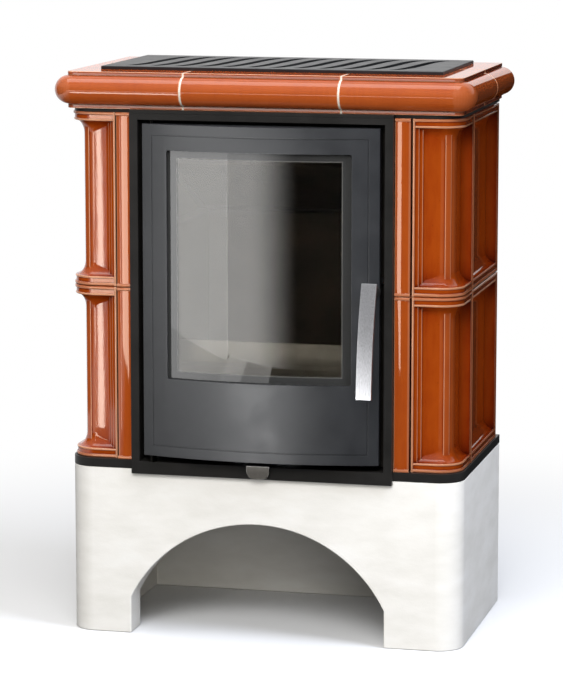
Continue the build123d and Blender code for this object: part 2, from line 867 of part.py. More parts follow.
def make_firebox_front():
    """Flange plate that the door's rope seal closes on."""
    with BuildPart() as firebox_front:
        with BuildSketch(facing(plate_back)):
            with Locations((0, (air_box_low + tiles_top) / 2)):
                Rectangle(frame_width - 2 * front_plate_side_margin, tiles_top - air_box_low)
            with Locations((0, (opening_low + opening_high) / 2)):
                RectangleRounded(2 * opening_half_width, opening_high - opening_low, 6, mode=Mode.SUBTRACT)
        extrude(amount=front_plate_thickness)
    finish(firebox_front, "firebox_front")


def make_firebox_shell():
    """Welded box, open at the front, with the flue hole at the rear and the air hole in its floor."""
    with BuildPart() as firebox_shell:
        slab((-firebox_half, firebox_half), (plate_back, firebox_rear), (firebox_low, firebox_high))
        slab(
            (firebox_wall - firebox_half, firebox_half - firebox_wall),
            (plate_back, firebox_rear - firebox_wall),
            (firebox_low + firebox_wall, firebox_high - firebox_wall),
            mode=Mode.SUBTRACT,
        )
        with BuildSketch(facing(firebox_rear)):
            with Locations((0, flue_height)):
                Circle(flue_radius - flue_wall)
        extrude(amount=firebox_wall, mode=Mode.SUBTRACT)
        with BuildSketch(Plane.XY.offset(firebox_low)):
            with Locations((0, plate_back + 80)):
                Rectangle(slide_port_width, air_port_depth)
        extrude(amount=firebox_wall, mode=Mode.SUBTRACT)
    finish(firebox_shell, "firebox_shell")


def make_firebox_rails():
    """Two folded channels that carry the firebox on the base plate."""
    rail_width = 30.0
    inner = firebox_half - 50
    with BuildPart() as firebox_rails:
        with BuildSketch(facing(firebox_rear - 10)):
            with BuildLine():
                Polyline(
                    (inner, base_top),
                    (inner + rail_width, base_top),
                    (inner + rail_width, base_top + sheet),
                    (inner + sheet, base_top + sheet),
                    (inner + sheet, firebox_low - sheet),
                    (inner + rail_width, firebox_low - sheet),
                    (inner + rail_width, firebox_low),
                    (inner, firebox_low),
                    close=True,
                )
            make_face()
        extrude(amount=firebox_depth - 20)
        mirror(about=Plane.YZ)
    finish(firebox_rails, "firebox_rails")


def make_flue_collar():
    """Round spigot with a welded flange on the firebox's rear wall."""
    end = rear + flue_reach
    with BuildPart() as flue_collar:
        with BuildSketch(Plane(origin=(0, 0, flue_height), x_dir=(0, 1, 0), z_dir=(1, 0, 0))):
            with BuildLine():
                Polyline(
                    (firebox_rear, flue_radius - flue_wall),
                    (firebox_rear, flue_radius + flue_flange),
                    (firebox_rear + 3, flue_radius + flue_flange),
                    (firebox_rear + 3, flue_radius),
                    (end, flue_radius),
                    (end, flue_radius - flue_wall),
                    close=True,
                )
            make_face()
        revolve(axis=Axis((0, 0, flue_height), (0, 1, 0)))
    finish(flue_collar, "flue_collar")


def make_back_panel():
    """Heat shield with two bands of upright vent slots and the hole for the spigot."""
    half = rump_x + 22
    with BuildPart() as back_panel:
        with BuildSketch(facing(panel_y + sheet)):
            with Locations((0, (base_top + tiles_top) / 2)):
                Rectangle(2 * half, tiles_top - base_top)
            with Locations((0, flue_height)):
                Circle(flue_radius + 5, mode=Mode.SUBTRACT)
            with Locations((0, base_top + 80), (0, base_top + 200)):
                with GridLocations(48, 1, 11, 1):
                    SlotOverall(70, 8, rotation=90, mode=Mode.SUBTRACT)
        extrude(amount=sheet)
        for side in (-1, 1):
            edge = side * half
            slab(
                (min(edge, edge - side * sheet), max(edge, edge - side * sheet)),
                (panel_y + sheet, panel_y + sheet + 18),
                (base_top, tiles_top),
            )
    finish(back_panel, "back_panel")


def make_air_box():
    """Primary air chamber under the firebox; its ports line up with the slide's when that is pulled out."""
    width = slide_width + 16
    with BuildPart() as air_box:
        slab((-width / 2, width / 2), (plate_back, plate_back + 160), (air_box_low, firebox_low))
        slab(
            (sheet - width / 2, width / 2 - sheet),
            (plate_back + sheet, plate_back + 160 - sheet),
            (air_box_low + sheet, firebox_low),
            mode=Mode.SUBTRACT,
        )
        with BuildSketch(Plane.XY.offset(air_box_low)):
            with Locations((0, port_middle)):
                with GridLocations(1, slide_port_pitch, 1, 3):
                    Rectangle(slide_port_width, slide_port_depth)
        extrude(amount=sheet, mode=Mode.SUBTRACT)
    finish(air_box, "air_box")


def make_air_guides():
    """Two strips on the base plate that guide the air slide and carry the air box."""
    with BuildPart() as air_guides:
        for side in (-1, 1):
            near = slide_width / 2 + 0.5
            far = slide_width / 2 + 8
            slab(
                (min(side * near, side * far), max(side * near, side * far)),
                (plate_back, plate_back + 160),
                (base_top, air_box_low),
            )
    finish(air_guides, "air_guides")


def make_lining():
    """Fire bricks round the fire bed; the floor brick is stepped to seat the grate."""
    bed_middle = (plate_back + firebox_rear) / 2
    with BuildPart() as firebrick_floor:
        slab((-lining_half, lining_half), (plate_back + brick_gap, lining_rear), (floor_low, brick_floor_top))
        with BuildSketch(Plane.XY.offset(brick_floor_top)):
            with Locations((0, bed_middle)):
                Rectangle(grate_width + 1, grate_depth + 1)
        extrude(amount=-grate_thickness, mode=Mode.SUBTRACT)
        with BuildSketch(Plane.XY.offset(brick_floor_top)):
            with Locations((0, bed_middle)):
                Rectangle(grate_width - 2 * grate_seat, grate_depth - 2 * grate_seat)
        extrude(amount=-brick, mode=Mode.SUBTRACT)
    finish(firebrick_floor, "firebrick_floor")
    with BuildPart() as firebrick_back:
        slab((-lining_half, lining_half), (lining_rear - brick, lining_rear), (brick_floor_top, brick_top))
        chamfer(firebrick_back.faces().sort_by(Axis.Y)[0].edges(), length=2)
    finish(firebrick_back, "firebrick_back")
    for name, side in (("left", -1), ("right", 1)):
        edges = sorted((side * (lining_half - brick), side * lining_half))
        with BuildPart() as firebrick_side:
            slab(edges, (plate_back + 40, lining_rear - brick - brick_gap), (brick_floor_top, brick_top))
            inner = firebrick_side.faces().sort_by(Axis.X)[0 if side > 0 else -1]
            chamfer(inner.edges(), length=2)
        finish(firebrick_side, f"firebrick_{name}")


def make_grate():
    """Cast grate with long bars, flush with the floor bricks."""
    bed_middle = (plate_back + firebox_rear) / 2
    with BuildPart() as grate:
        with BuildSketch(Plane.XY.offset(brick_floor_top)):
            with Locations((0, bed_middle)):
                RectangleRounded(grate_width, grate_depth, 4)
                with GridLocations(18, 1, 9, 1):
                    SlotOverall(grate_depth - 34, 9, rotation=90, mode=Mode.SUBTRACT)
        extrude(amount=-grate_thickness)
    finish(grate, "grate")


def make_log_guard():
    """Bent plate that stands on the floor bricks behind the glass."""
    foot = plate_back + 12
    bend = brick_floor_top + guard_bend_height
    with BuildPart() as log_guard:
        with BuildSketch(Plane.YZ):
            with BuildLine():
                Polyline(
                    (foot, brick_floor_top),
                    (foot, bend),
                    (foot + guard_bend, bend + guard_bend),
                    (foot + guard_bend, brick_floor_top + guard_height),
                    (foot + guard_bend + guard_thickness, brick_floor_top + guard_height),
                    (foot + guard_bend + guard_thickness, bend + guard_bend),
                    (foot + guard_thickness, bend),
                    (foot + guard_thickness, brick_floor_top),
                    close=True,
                )
            make_face()
        extrude(amount=opening_half_width - 2, both=True)
    finish(log_guard, "log_guard")


def make_baffle():
    """Sloping baffle that turns the smoke forwards, and the two ledges that carry it."""
    slope_front = lining_rear - baffle_length
    with BuildPart() as baffle:
        with BuildSketch(Plane.YZ):
            with BuildLine():
                Polyline(
                    (lining_rear, baffle_rear_low),
                    (lining_rear, baffle_rear_low + baffle_thickness),
                    (slope_front, baffle_front_low + baffle_thickness),
                    (slope_front, baffle_front_low),
                    close=True,
                )
            make_face()
        extrude(amount=lining_half, both=True)
    finish(baffle, "baffle")
    with BuildPart() as baffle_supports:
        with BuildSketch(Plane.YZ.offset(lining_half + brick_gap - 12)):
            with BuildLine():
                Polyline(
                    (lining_rear, baffle_rear_low - firebox_wall),
                    (lining_rear, baffle_rear_low),
                    (slope_front, baffle_front_low),
                    (slope_front, baffle_front_low - firebox_wall),
                    close=True,
                )
            make_face()
        extrude(amount=12)
        mirror(about=Plane.YZ)
    finish(baffle_supports, "baffle_supports")


def make_latch_keeper():
    """Angle on the front plate; its lip lies in front of the latch finger once that is turned home."""
    lip_front = door_back + 0.8
    lip_start = handle_x + finger_width / 2 + keeper_side_gap
    stem_end = lip_start + 8
    low = handle_pivot_z + finger_hub + 1
    with BuildPart() as latch_keeper:
        with BuildSketch(Plane.XY.offset(low)):
            with BuildLine():
                Polyline(
                    (lip_start, lip_front),
                    (stem_end, lip_front),
                    (stem_end, frame_back),
                    (stem_end - keeper_thickness, frame_back),
                    (stem_end - keeper_thickness, lip_front + keeper_thickness),
                    (lip_start, lip_front + keeper_thickness),
                    close=True,
                )
            make_face()
        extrude(amount=12)
    finish(latch_keeper, "latch_keeper")


# ---------------------------------------------------------------- door


def make_door_frame():
    """Bowed door: thick rim, glass opening, stepped pockets behind and a fine line round the front."""
    with BuildPart() as line_band:
        with BuildSketch(Plane.XY.offset(door_low)):
            make_face(bow_plan(door_half, -1, back_inset=line_depth))
        extrude(amount=door_height)
        with BuildSketch(facing(door_back)):
            with Locations((0, (door_low + door_high) / 2)):
                Rectangle(door_width - 2 * line_inset, door_height - 2 * line_inset)
                inner = line_inset + line_width
                Rectangle(door_width - 2 * inner, door_height - 2 * inner, mode=Mode.SUBTRACT)
        extrude(amount=4 * door_edge_thickness, mode=Mode.INTERSECT)
    with BuildPart() as door_frame:
        with BuildSketch(Plane.XY.offset(door_low)):
            make_face(bow_plan(door_half, 0, back=door_back))
        extrude(amount=door_height)
        with BuildSketch(Plane.XY.offset(pocket_low)):
            make_face(bow_plan(pocket_half, door_skin, back=door_back))
        extrude(amount=pocket_high - pocket_low, mode=Mode.SUBTRACT)
        glass_back = door_skin + glass_seal_thickness + glass_thickness
        with BuildSketch(Plane.XY.offset(pocket_low - retainer_recess)):
            make_face(bow_plan(pocket_half, glass_back, back=door_back))
        extrude(amount=pocket_high - pocket_low + 2 * retainer_recess, mode=Mode.SUBTRACT)
        with BuildSketch(Plane.XY.offset(door_low + 24)):
            make_face(bow_plan(pocket_half, door_skin, back=door_back))
        extrude(amount=pocket_low - retainer_recess - 12 - door_low - 24, mode=Mode.SUBTRACT)
        with BuildSketch(facing(door_back)):
            with Locations((0, (glass_low + glass_high) / 2)):
                RectangleRounded(2 * glass_half_width, glass_high - glass_low, 3)
        extrude(amount=4 * door_edge_thickness, mode=Mode.SUBTRACT)
        with BuildSketch(facing(door_back)):
            seal_ring()
        extrude(amount=seal_channel, mode=Mode.SUBTRACT)
        for height, reach in ((door_low, Align.MIN), (door_high, Align.MAX)):
            with Locations((hinge_x, hinge_y, height)):
                Cylinder(
                    hinge_pin_radius + running_gap,
                    hinge_pin_reach + 1,
                    align=(Align.CENTER, Align.CENTER, reach),
                    mode=Mode.SUBTRACT,
                )
        with BuildSketch(facing(door_back)):
            with Locations((handle_x, handle_pivot_z)):
                Circle(shaft_radius + bush_wall)
        extrude(amount=2 * door_edge_thickness, mode=Mode.SUBTRACT)
        for x, z in retainer_screw_places():
            with BuildSketch(facing(door_back)):
                with Locations((x, z)):
                    Circle(2)
            extrude(amount=-bow_depth(x, glass_back) + door_back + 8, mode=Mode.SUBTRACT)
        add(line_band.part, mode=Mode.SUBTRACT)
    finish(door_frame, "door_frame")


def seal_ring():
    """Closed band of the rope seal, drawn in the sketch in hand."""
    middle = (door_low + door_high) / 2
    half_height = door_height / 2 - 12
    with Locations((0, middle)):
        RectangleRounded(2 * seal_half + seal_width, 2 * half_height + seal_width, 10)
        RectangleRounded(2 * seal_half - seal_width, 2 * half_height - seal_width, 4, mode=Mode.SUBTRACT)


def retainer_screw_places():
    """Screws through the two glass retainers."""
    low = pocket_low - retainer_recess / 2
    high = pocket_high + retainer_recess / 2
    return [(x, z) for z in (low, high) for x in (-120.0, 0.0, 120.0)]


def make_door_seal():
    with BuildPart() as door_seal:
        with BuildSketch(facing(frame_back - seal_gap)):
            seal_ring()
        extrude(amount=frame_back - seal_gap - door_back + seal_channel)
    finish(door_seal, "door_seal")


def make_door_glass():
    """Bowed glass, its flat rope behind the skin, and the two curved bars that hold it."""
    half = glass_half_width + glass_lap
    low = glass_low - glass_lap - 4
    high = glass_high + glass_lap + 4
    seal_back = door_skin + glass_seal_thickness
    glass_back = seal_back + glass_thickness
    with BuildPart() as door_glass:
        with BuildSketch(Plane.XY.offset(low)):
            make_face(bow_plan(half, seal_back, back_inset=glass_back))
        extrude(amount=high - low)
    finish(door_glass, "door_glass")
    with BuildPart() as glass_seal:
        with BuildSketch(Plane.XY.offset(low)):
            make_face(bow_plan(half, door_skin, back_inset=seal_back))
        extrude(amount=high - low)
        with BuildSketch(facing(door_back)):
            with Locations((0, (glass_low + glass_high) / 2)):
                Rectangle(2 * glass_half_width + 1, glass_high - glass_low + 1)
        extrude(amount=4 * door_edge_thickness, mode=Mode.SUBTRACT)
    finish(glass_seal, "glass_seal")
    with BuildPart() as glass_retainers:
        for bar_low in (pocket_low - retainer_recess + 0.5, glass_high - 2):
            with BuildSketch(Plane.XY.offset(bar_low)):
                make_face(bow_plan(half - 8, glass_back, back_inset=glass_back + retainer_thickness))
            extrude(amount=pocket_margin + retainer_recess + 1.5)
        for x, z in retainer_screw_places():
            with BuildSketch(facing(door_back)):
                with Locations((x, z)):
                    Circle(2.4)
            extrude(amount=4 * door_edge_thickness, mode=Mode.SUBTRACT)
    finish(glass_retainers, "glass_retainers")
    with BuildPart() as retainer_screws:
        for x, z in retainer_screw_places():
            head_front = bow_depth(abs(x) + 4.5, glass_back + retainer_thickness)
            with BuildSketch(facing(head_front + 2.5)):
                with Locations((x, z)):
                    Circle(4.5)
            extrude(amount=2.5)
            with BuildSketch(facing(head_front)):
                with Locations((x, z)):
                    Circle(2)
            extrude(amount=head_front - bow_depth(x, glass_back) + 7)
    finish(retainer_screws, "retainer_screws")


# ---------------------------------------------------------------- handle and latch


def make_handle():
    """Flat curved bar on a shaft through the door, with the latch finger on the shaft's inner end."""
    edge = frame_front
    top = handle_pivot_z + handle_top_above_pivot
    middle = top - handle_length / 2
    bottom = top - handle_length
    stations = (
        (handle_top_standoff, top),
        (handle_pivot_standoff, handle_pivot_z),
        (handle_middle_standoff, middle),
        (handle_bottom_standoff, bottom),
    )
    with BuildPart() as handle_bar:
        with BuildSketch(Plane.YZ.offset(handle_x)):
            with BuildLine():
                back = Spline(*[(edge - standoff, height) for standoff, height in stations])
                face = Spline(*[(edge - standoff - handle_thickness, height) for standoff, height in stations])
                Line(back @ 0, face @ 0)
                Line(back @ 1, face @ 1)
            make_face()
        extrude(amount=handle_width / 2, both=True)
        fillet(handle_bar.edges().filter_by(Axis.X).group_by(Axis.Z)[-1], radius=1.5)
    finish(handle_bar, "handle_bar")
    finger_back = door_back + 3.3 + finger_thickness
    with BuildPart() as handle_shaft:
        with BuildSketch(facing(finger_back)):
            with Locations((handle_x, handle_pivot_z)):
                Circle(shaft_radius)
        extrude(amount=finger_back - edge + handle_pivot_standoff + handle_thickness / 2)
        with BuildSketch(facing(finger_back + 3.0)):
            with Locations((handle_x, handle_pivot_z)):
                Circle(shaft_radius - 2)
        extrude(amount=3.0)
        add(handle_bar.part, mode=Mode.SUBTRACT)
    finish(handle_shaft, "handle_shaft")
    with BuildPart() as latch_finger:
        with BuildSketch(facing(finger_back)):
            with Locations((handle_x, handle_pivot_z)):
                Circle(finger_hub)
                with Locations((0, finger_reach / 2)):
                    Rectangle(finger_width, finger_reach)
                Circle(shaft_radius, mode=Mode.SUBTRACT)
        extrude(amount=finger_thickness)
    finish(latch_finger, "latch_finger")
    with BuildPart() as finger_nut:
        with BuildSketch(facing(finger_back + 3.0)):
            with Locations((handle_x, handle_pivot_z)):
                RegularPolygon(7.0, 6)
                Circle(shaft_radius - 2, mode=Mode.SUBTRACT)
        extrude(amount=3.0)
    finish(finger_nut, "finger_nut")
    with BuildPart() as handle_bush:
        with BuildSketch(facing(door_back)):
            with Locations((handle_x, handle_pivot_z)):
                Circle(shaft_radius + bush_wall)
                Circle(shaft_radius + running_gap, mode=Mode.SUBTRACT)
        extrude(amount=door_edge_thickness - 1)
    finish(handle_bush, "handle_bush")
    with BuildPart() as door_solid:
        with BuildSketch(Plane.XY.offset(door_low)):
            make_face(bow_plan(door_half, 0, back=door_back))
        extrude(amount=door_height)
    with BuildPart() as handle_rosette:
        with BuildSketch(facing(frame_front + 2)):
            with Locations((handle_x, handle_pivot_z)):
                Circle(rosette_radius)
                Circle(shaft_radius + 0.4, mode=Mode.SUBTRACT)
        extrude(amount=2 + rosette_height)
        add(door_solid.part, mode=Mode.SUBTRACT)
    finish(handle_rosette, "handle_rosette")


# ---------------------------------------------------------------- air control and ash pan


def make_air_control():
    """Bent lever tab over the sill and the slotted slide behind it."""
    low = base_top + slide_lift
    high = low + lever_thickness
    tab_back = frame_front - lever_gap
    tab_bottom = high - lever_drop
    slide_front = plate_back + 4
    with BuildPart() as air_lever:
        with BuildSketch(Plane.YZ.offset(lever_x)):
            with BuildLine():
                Polyline(
                    (slide_front, low),
                    (slide_front, high),
                    (tab_back - lever_thickness, high),
                    (tab_back - lever_thickness, tab_bottom),
                    (tab_back, tab_bottom),
                    (tab_back, low),
                    close=True,
                )
            make_face()
        extrude(amount=lever_width / 2, both=True)
        bend = air_lever.edges().filter_by(Axis.X).filter_by_position(Axis.Z, high - 0.1, high + 0.1)
        fillet(bend.sort_by(Axis.Y)[0], radius=lever_thickness - 0.2)
        corners = air_lever.edges().filter_by(Axis.Y).group_by(Axis.Z)[0]
        fillet(corners, radius=lever_drop * 0.55)
    finish(air_lever, "air_lever")
    with BuildPart() as air_slide:
        with BuildSketch(Plane.XY.offset(low)):
            with Locations((0, slide_front + slide_length / 2)):
                Rectangle(slide_width, slide_length)
            with Locations((0, port_middle + slide_travel)):
                with GridLocations(1, slide_port_pitch, 1, 3):
                    Rectangle(slide_port_width, slide_port_depth, mode=Mode.SUBTRACT)
        extrude(amount=lever_thickness)
    finish(air_slide, "air_slide")


def make_ash_pan():
    """Open sheet pan with a finger slot in its front wall."""
    low = firebox_low + firebox_wall + pan_lift
    near = front + pan_front
    with BuildPart() as ash_pan:
        slab((-pan_width / 2, pan_width / 2), (near, near + pan_depth), (low, low + pan_height))
        fillet(ash_pan.edges().filter_by(Axis.Z), radius=6)
        offset(amount=-sheet, openings=ash_pan.faces().sort_by(Axis.Z)[-1])
        with BuildSketch(facing(near + sheet)):
            with Locations((0, low + pan_height - 16)):
                SlotOverall(70, 14)
        extrude(amount=sheet, mode=Mode.SUBTRACT)
    finish(ash_pan, "ash_pan")


# ---------------------------------------------------------------- build

os.makedirs("parts", exist_ok=True)
make_plinth()
make_base_plate()
for row_name, row_floor in tile_rows.items():
    make_corner_tile(row_name, row_floor)
    make_side_tile(row_name, row_floor)
make_tile_posts()
make_top_plate()
make_cornice()
make_cornice_joints()
make_rear_rail()
make_top_grille()
make_front_frame()
make_hinge_pins()
make_firebox_front()
make_firebox_shell()
make_firebox_rails()
make_flue_collar()
make_back_panel()
make_air_box()
make_air_guides()
make_lining()
make_grate()
make_log_guard()
make_baffle()
make_latch_keeper()
make_door_frame()
make_door_seal()
make_door_glass()
make_handle()
make_air_control()
make_ash_pan()
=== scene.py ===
import json
import math

import bmesh
import bpy
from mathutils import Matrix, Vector

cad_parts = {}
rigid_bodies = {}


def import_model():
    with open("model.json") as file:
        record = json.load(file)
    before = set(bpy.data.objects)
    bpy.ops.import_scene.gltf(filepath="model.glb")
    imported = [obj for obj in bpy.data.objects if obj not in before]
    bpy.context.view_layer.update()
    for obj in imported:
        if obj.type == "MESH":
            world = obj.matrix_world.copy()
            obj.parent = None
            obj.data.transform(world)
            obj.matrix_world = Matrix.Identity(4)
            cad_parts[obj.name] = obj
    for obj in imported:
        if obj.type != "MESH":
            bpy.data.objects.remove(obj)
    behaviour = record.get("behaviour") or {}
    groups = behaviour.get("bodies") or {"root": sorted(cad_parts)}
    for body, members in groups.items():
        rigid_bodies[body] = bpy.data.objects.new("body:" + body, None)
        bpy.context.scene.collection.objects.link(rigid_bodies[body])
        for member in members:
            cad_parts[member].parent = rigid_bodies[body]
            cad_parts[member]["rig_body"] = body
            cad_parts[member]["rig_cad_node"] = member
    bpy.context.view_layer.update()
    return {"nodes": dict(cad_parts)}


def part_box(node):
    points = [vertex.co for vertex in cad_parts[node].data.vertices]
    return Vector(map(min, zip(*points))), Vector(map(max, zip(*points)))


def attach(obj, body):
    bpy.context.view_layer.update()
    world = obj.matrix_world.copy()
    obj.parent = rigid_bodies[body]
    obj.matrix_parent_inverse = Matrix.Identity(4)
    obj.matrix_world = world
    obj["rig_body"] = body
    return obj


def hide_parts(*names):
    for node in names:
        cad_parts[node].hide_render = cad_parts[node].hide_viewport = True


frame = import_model()
nodes = frame["nodes"]

MM = 0.001


# ------------------------------------------------------------------ camera

# A long lens from the right and above, as fitted to the edges and corners in the photograph.
camera = bpy.data.objects.new("camera", bpy.data.cameras.new("camera"))
bpy.context.scene.collection.objects.link(camera)
camera.data.sensor_width = 36.0
camera.data.lens = 166.75
camera.data.clip_end = 200.0
camera.location = (1.3119, -5.3822, 1.3933)
line_of_sight = Vector((-0.23593, 0.95904, -0.15712))
camera.rotation_mode = "QUATERNION"
camera.rotation_quaternion = line_of_sight.to_track_quat("-Z", "Y")
bpy.context.scene.camera = camera
bpy.context.scene.view_settings.view_transform = "Standard"


# ------------------------------------------------------------------ materials

def linear(code):
    """sRGB hex to linear colour, as the shaders want it."""
    parts = [int(code[i:i + 2], 16) / 255 for i in (1, 3, 5)]
    return tuple(c / 12.92 if c <= 0.04045 else ((c + 0.055) / 1.055) ** 2.4 for c in parts) + (1.0,)


def per(mm):
    """Texture scale at which one cell of a pattern is that many millimetres across."""
    return 1000.0 / mm


def add(tree, kind, inputs=None, stops=None, **settings):
    """Adds a node with its settings; an input is a value or the socket that feeds it."""
    made = tree.nodes.new("ShaderNode" + kind)
    for key, value in settings.items():
        setattr(made, key, value)
    for key, value in (inputs or {}).items():
        if isinstance(value, bpy.types.NodeSocket):
            tree.links.new(value, made.inputs[key])
        else:
            made.inputs[key].default_value = value
    if stops:
        ramp = made.color_ramp.elements
        while len(ramp) < len(stops):
            ramp.new(1.0)
        for element, (place, colour) in zip(ramp, stops):
            element.position = place
            element.color = linear(colour) if isinstance(colour, str) else (colour, colour, colour, 1.0)
    return made


def start(name, **shader):
    """A new material with its principled shader set, its tree and its object coordinates."""
    finish = bpy.data.materials.new(name)
    finish.use_nodes = True
    tree = finish.node_tree
    surface = tree.nodes["Principled BSDF"]
    for key, value in shader.items():
        surface.inputs[key.replace("_", " ")].default_value = value
    place = add(tree, "TexCoord").outputs["Object"]
    return finish, tree, surface, place


finishes = {}

# Lime render, floated by hand: a warm white, dead matt wall with wide, faint float strokes and a fine grain.
# The sand is drawn coarser than it is, so that it shows.
finish, tree, surface, place = start("lime_render", Roughness=0.92)
stretched = add(tree, "Mapping", {"Vector": place, "Rotation": (0.2, 0.5, 0.1), "Scale": (1.0, 1.0, 2.6)})
strokes = add(tree, "TexNoise", {"Vector": stretched.outputs[0], "Scale": per(95), "Detail": 4.0,
                                 "Roughness": 0.55})
sand = add(tree, "TexNoise", {"Vector": place, "Scale": per(3.2), "Detail": 3.0, "Roughness": 0.6})
tone = add(tree, "ValToRGB", {"Fac": strokes.outputs["Fac"]},
           stops=[(0.3, "#e9e6df"), (0.55, "#f1eee8"), (0.75, "#f5f3ee")])
tree.links.new(tone.outputs[0], surface.inputs["Base Color"])
float_marks = add(tree, "Bump", {"Height": strokes.outputs["Fac"], "Strength": 0.5, "Distance": 1.6 * MM})
grain = add(tree, "Bump", {"Height": sand.outputs["Fac"], "Strength": 0.45, "Distance": 0.35 * MM,
                           "Normal": float_marks.outputs[0]})
tree.links.new(grain.outputs[0], surface.inputs["Normal"])
finishes["lime_render"] = finish

# Amber glaze over red clay, dipped and fired: glassy and orange brown, with faint runs down the tile
# and a few pinholes. It is peach on every arris, partly where the glaze runs thin and partly as a painted
# highlight, and darker, down to a liver red, in and around the hollows, partly where it pools and partly
# as painted shade.
finish, tree, surface, place = start("amber_glaze", Roughness=0.035, IOR=1.6)
# Ambient occlusion darkens the glaze in and near the hollows: partly thick glaze, partly painted shade.
hollow = add(tree, "AmbientOcclusion", {"Distance": 42 * MM}, samples=8, only_local=True)
pooled_and_painted_shade = add(tree, "MapRange", {"Value": hollow.outputs["AO"], "From Min": 0.25, "From Max": 1.0})
stretched = add(tree, "Mapping", {"Vector": place, "Scale": (1.0, 1.0, 0.16)})
runs = add(tree, "TexNoise", {"Vector": stretched.outputs[0], "Scale": per(9), "Detail": 4.0,
                              "Roughness": 0.6})
clouds = add(tree, "TexNoise", {"Vector": place, "Scale": per(45), "Detail": 2.0})
streaked = add(tree, "Math", {0: runs.outputs["Fac"], 1: 0.24, 2: -0.13}, operation="MULTIPLY_ADD")
clouded = add(tree, "Math", {0: clouds.outputs["Fac"], 1: 0.2, 2: -0.11}, operation="MULTIPLY_ADD")
varied = add(tree, "Math", {0: streaked.outputs[0], 1: clouded.outputs[0]}, operation="ADD")
# Tone that sets the colour: the occlusion, partly painted shade, plus random runs and clouds.
depth = add(tree, "Math", {0: pooled_and_painted_shade.outputs[0], 1: varied.outputs[0]}, operation="ADD")
colour = add(tree, "ValToRGB", {"Fac": depth.outputs[0]},
             stops=[(0.0, "#220501"), (0.25, "#4a1003"), (0.5, "#7a2307"), (0.75, "#a03a0c"),
                    (1.0, "#b85013")])
crest = add(tree, "Attribute", attribute_name="crest")
# Peach on convex arrises: partly where the glaze runs thin, partly a painted highlight.
thin_and_painted_highlight = add(tree, "Math", {0: crest.outputs["Fac"], 1: 0.85}, operation="MULTIPLY")
edged = add(tree, "Mix", {0: thin_and_painted_highlight.outputs[0], 6: colour.outputs[0], 7: linear("#f0b48c")}, data_type="RGBA")
pits = add(tree, "TexVoronoi", {"Vector": place, "Scale": per(11)})
pitted = add(tree, "MapRange", {"Value": pits.outputs["Distance"], "From Min": 0.05, "From Max": 0.085,
                                "To Min": 0.55, "To Max": 0.0})
few = add(tree, "SeparateColor", {"Color": pits.outputs["Color"]})
chosen = add(tree, "Math", {0: few.outputs[0], 1: 0.86}, operation="GREATER_THAN")
pinholes = add(tree, "Math", {0: pitted.outputs[0], 1: chosen.outputs[0]}, operation="MULTIPLY")
glaze = add(tree, "Mix", {0: pinholes.outputs[0], 6: edged.outputs[2], 7: linear("#3a0c03")},
            data_type="RGBA")
tree.links.new(glaze.outputs[2], surface.inputs["Base Color"])
sag = add(tree, "Bump", {"Height": clouds.outputs["Fac"], "Strength": 0.05, "Distance": 0.5 * MM})
ripple = add(tree, "Bump", {"Height": runs.outputs["Fac"], "Strength": 0.07, "Distance": 0.2 * MM,
                            "Normal": sag.outputs[0]})
tree.links.new(ripple.outputs[0], surface.inputs["Normal"])
finishes["amber_glaze"] = finish

# Cement grout, wiped level: cream white with a fine sandy tooth, drawn coarser than it is so that it shows.
finish, tree, surface, place = start("grout", Roughness=0.9)
sand = add(tree, "TexNoise", {"Vector": place, "Scale": per(1.5), "Detail": 3.0})
tone = add(tree, "ValToRGB", {"Fac": sand.outputs["Fac"]}, stops=[(0.3, "#e6dccb"), (0.7, "#f6efe3")])
tree.links.new(tone.outputs[0], surface.inputs["Base Color"])
tooth = add(tree, "Bump", {"Height": sand.outputs["Fac"], "Strength": 0.5, "Distance": 0.2 * MM})
tree.links.new(tooth.outputs[0], surface.inputs["Normal"])
finishes["grout"] = finish

# Painted and worn metals: (colour low, colour high, metallic, roughness, grain mm, grain depth mm).
# Black steel is sprayed with heat-proof paint and has a fine orange peel. Cast iron keeps the sand's tooth
# under its stove black. Door paint is the same paint in satin anthracite. Firebox steel is rolled plate gone
# brown black with heat. Guard steel is stainless dulled to a warm grey. Brass is turned, and zinc fittings
# are plated and bright. All these grains are finer than a pixel in truth and are drawn as coarse as they need
# to be to show.
plain_metals = {
    "black_steel": ("#232220", "#2e2c2a", 0.0, 0.42, 2.2, 0.05),
    "cast_iron": ("#1a1a1b", "#28282a", 0.0, 0.4, 1.4, 0.12),
    "door_paint": ("#2b2c2e", "#343537", 0.0, 0.36, 2.0, 0.04),
    "firebox_steel": ("#1d1a18", "#35302c", 0.4, 0.6, 6.0, 0.1),
    "guard_steel": ("#55534f", "#6e6c67", 0.6, 0.45, 8.0, 0.05),
    "bush_brass": ("#a8873f", "#c9a95c", 1.0, 0.3, 1.2, 0.03),
    "zinc_fitting": ("#a9abae", "#c4c6c9", 1.0, 0.32, 1.6, 0.03),
}
for name, (low, high, metallic, roughness, grain_size, grain_depth) in plain_metals.items():
    finish, tree, surface, place = start(name, Metallic=metallic)
    patches = add(tree, "TexNoise", {"Vector": place, "Scale": per(60), "Detail": 5.0, "Roughness": 0.6})
    peel = add(tree, "TexNoise", {"Vector": place, "Scale": per(grain_size), "Detail": 2.0})
    tone = add(tree, "ValToRGB", {"Fac": patches.outputs["Fac"]}, stops=[(0.3, low), (0.7, high)])
    tree.links.new(tone.outputs[0], surface.inputs["Base Color"])
    dull = add(tree, "MapRange", {"Value": patches.outputs["Fac"], "From Min": 0.3, "From Max": 0.7,
                                  "To Min": roughness - 0.05, "To Max": roughness + 0.05})
    tree.links.new(dull.outputs[0], surface.inputs["Roughness"])
    skin = add(tree, "Bump", {"Height": peel.outputs["Fac"], "Strength": 0.5, "Distance": grain_depth * MM})
    tree.links.new(skin.outputs[0], surface.inputs["Normal"])
    finishes[name] = finish

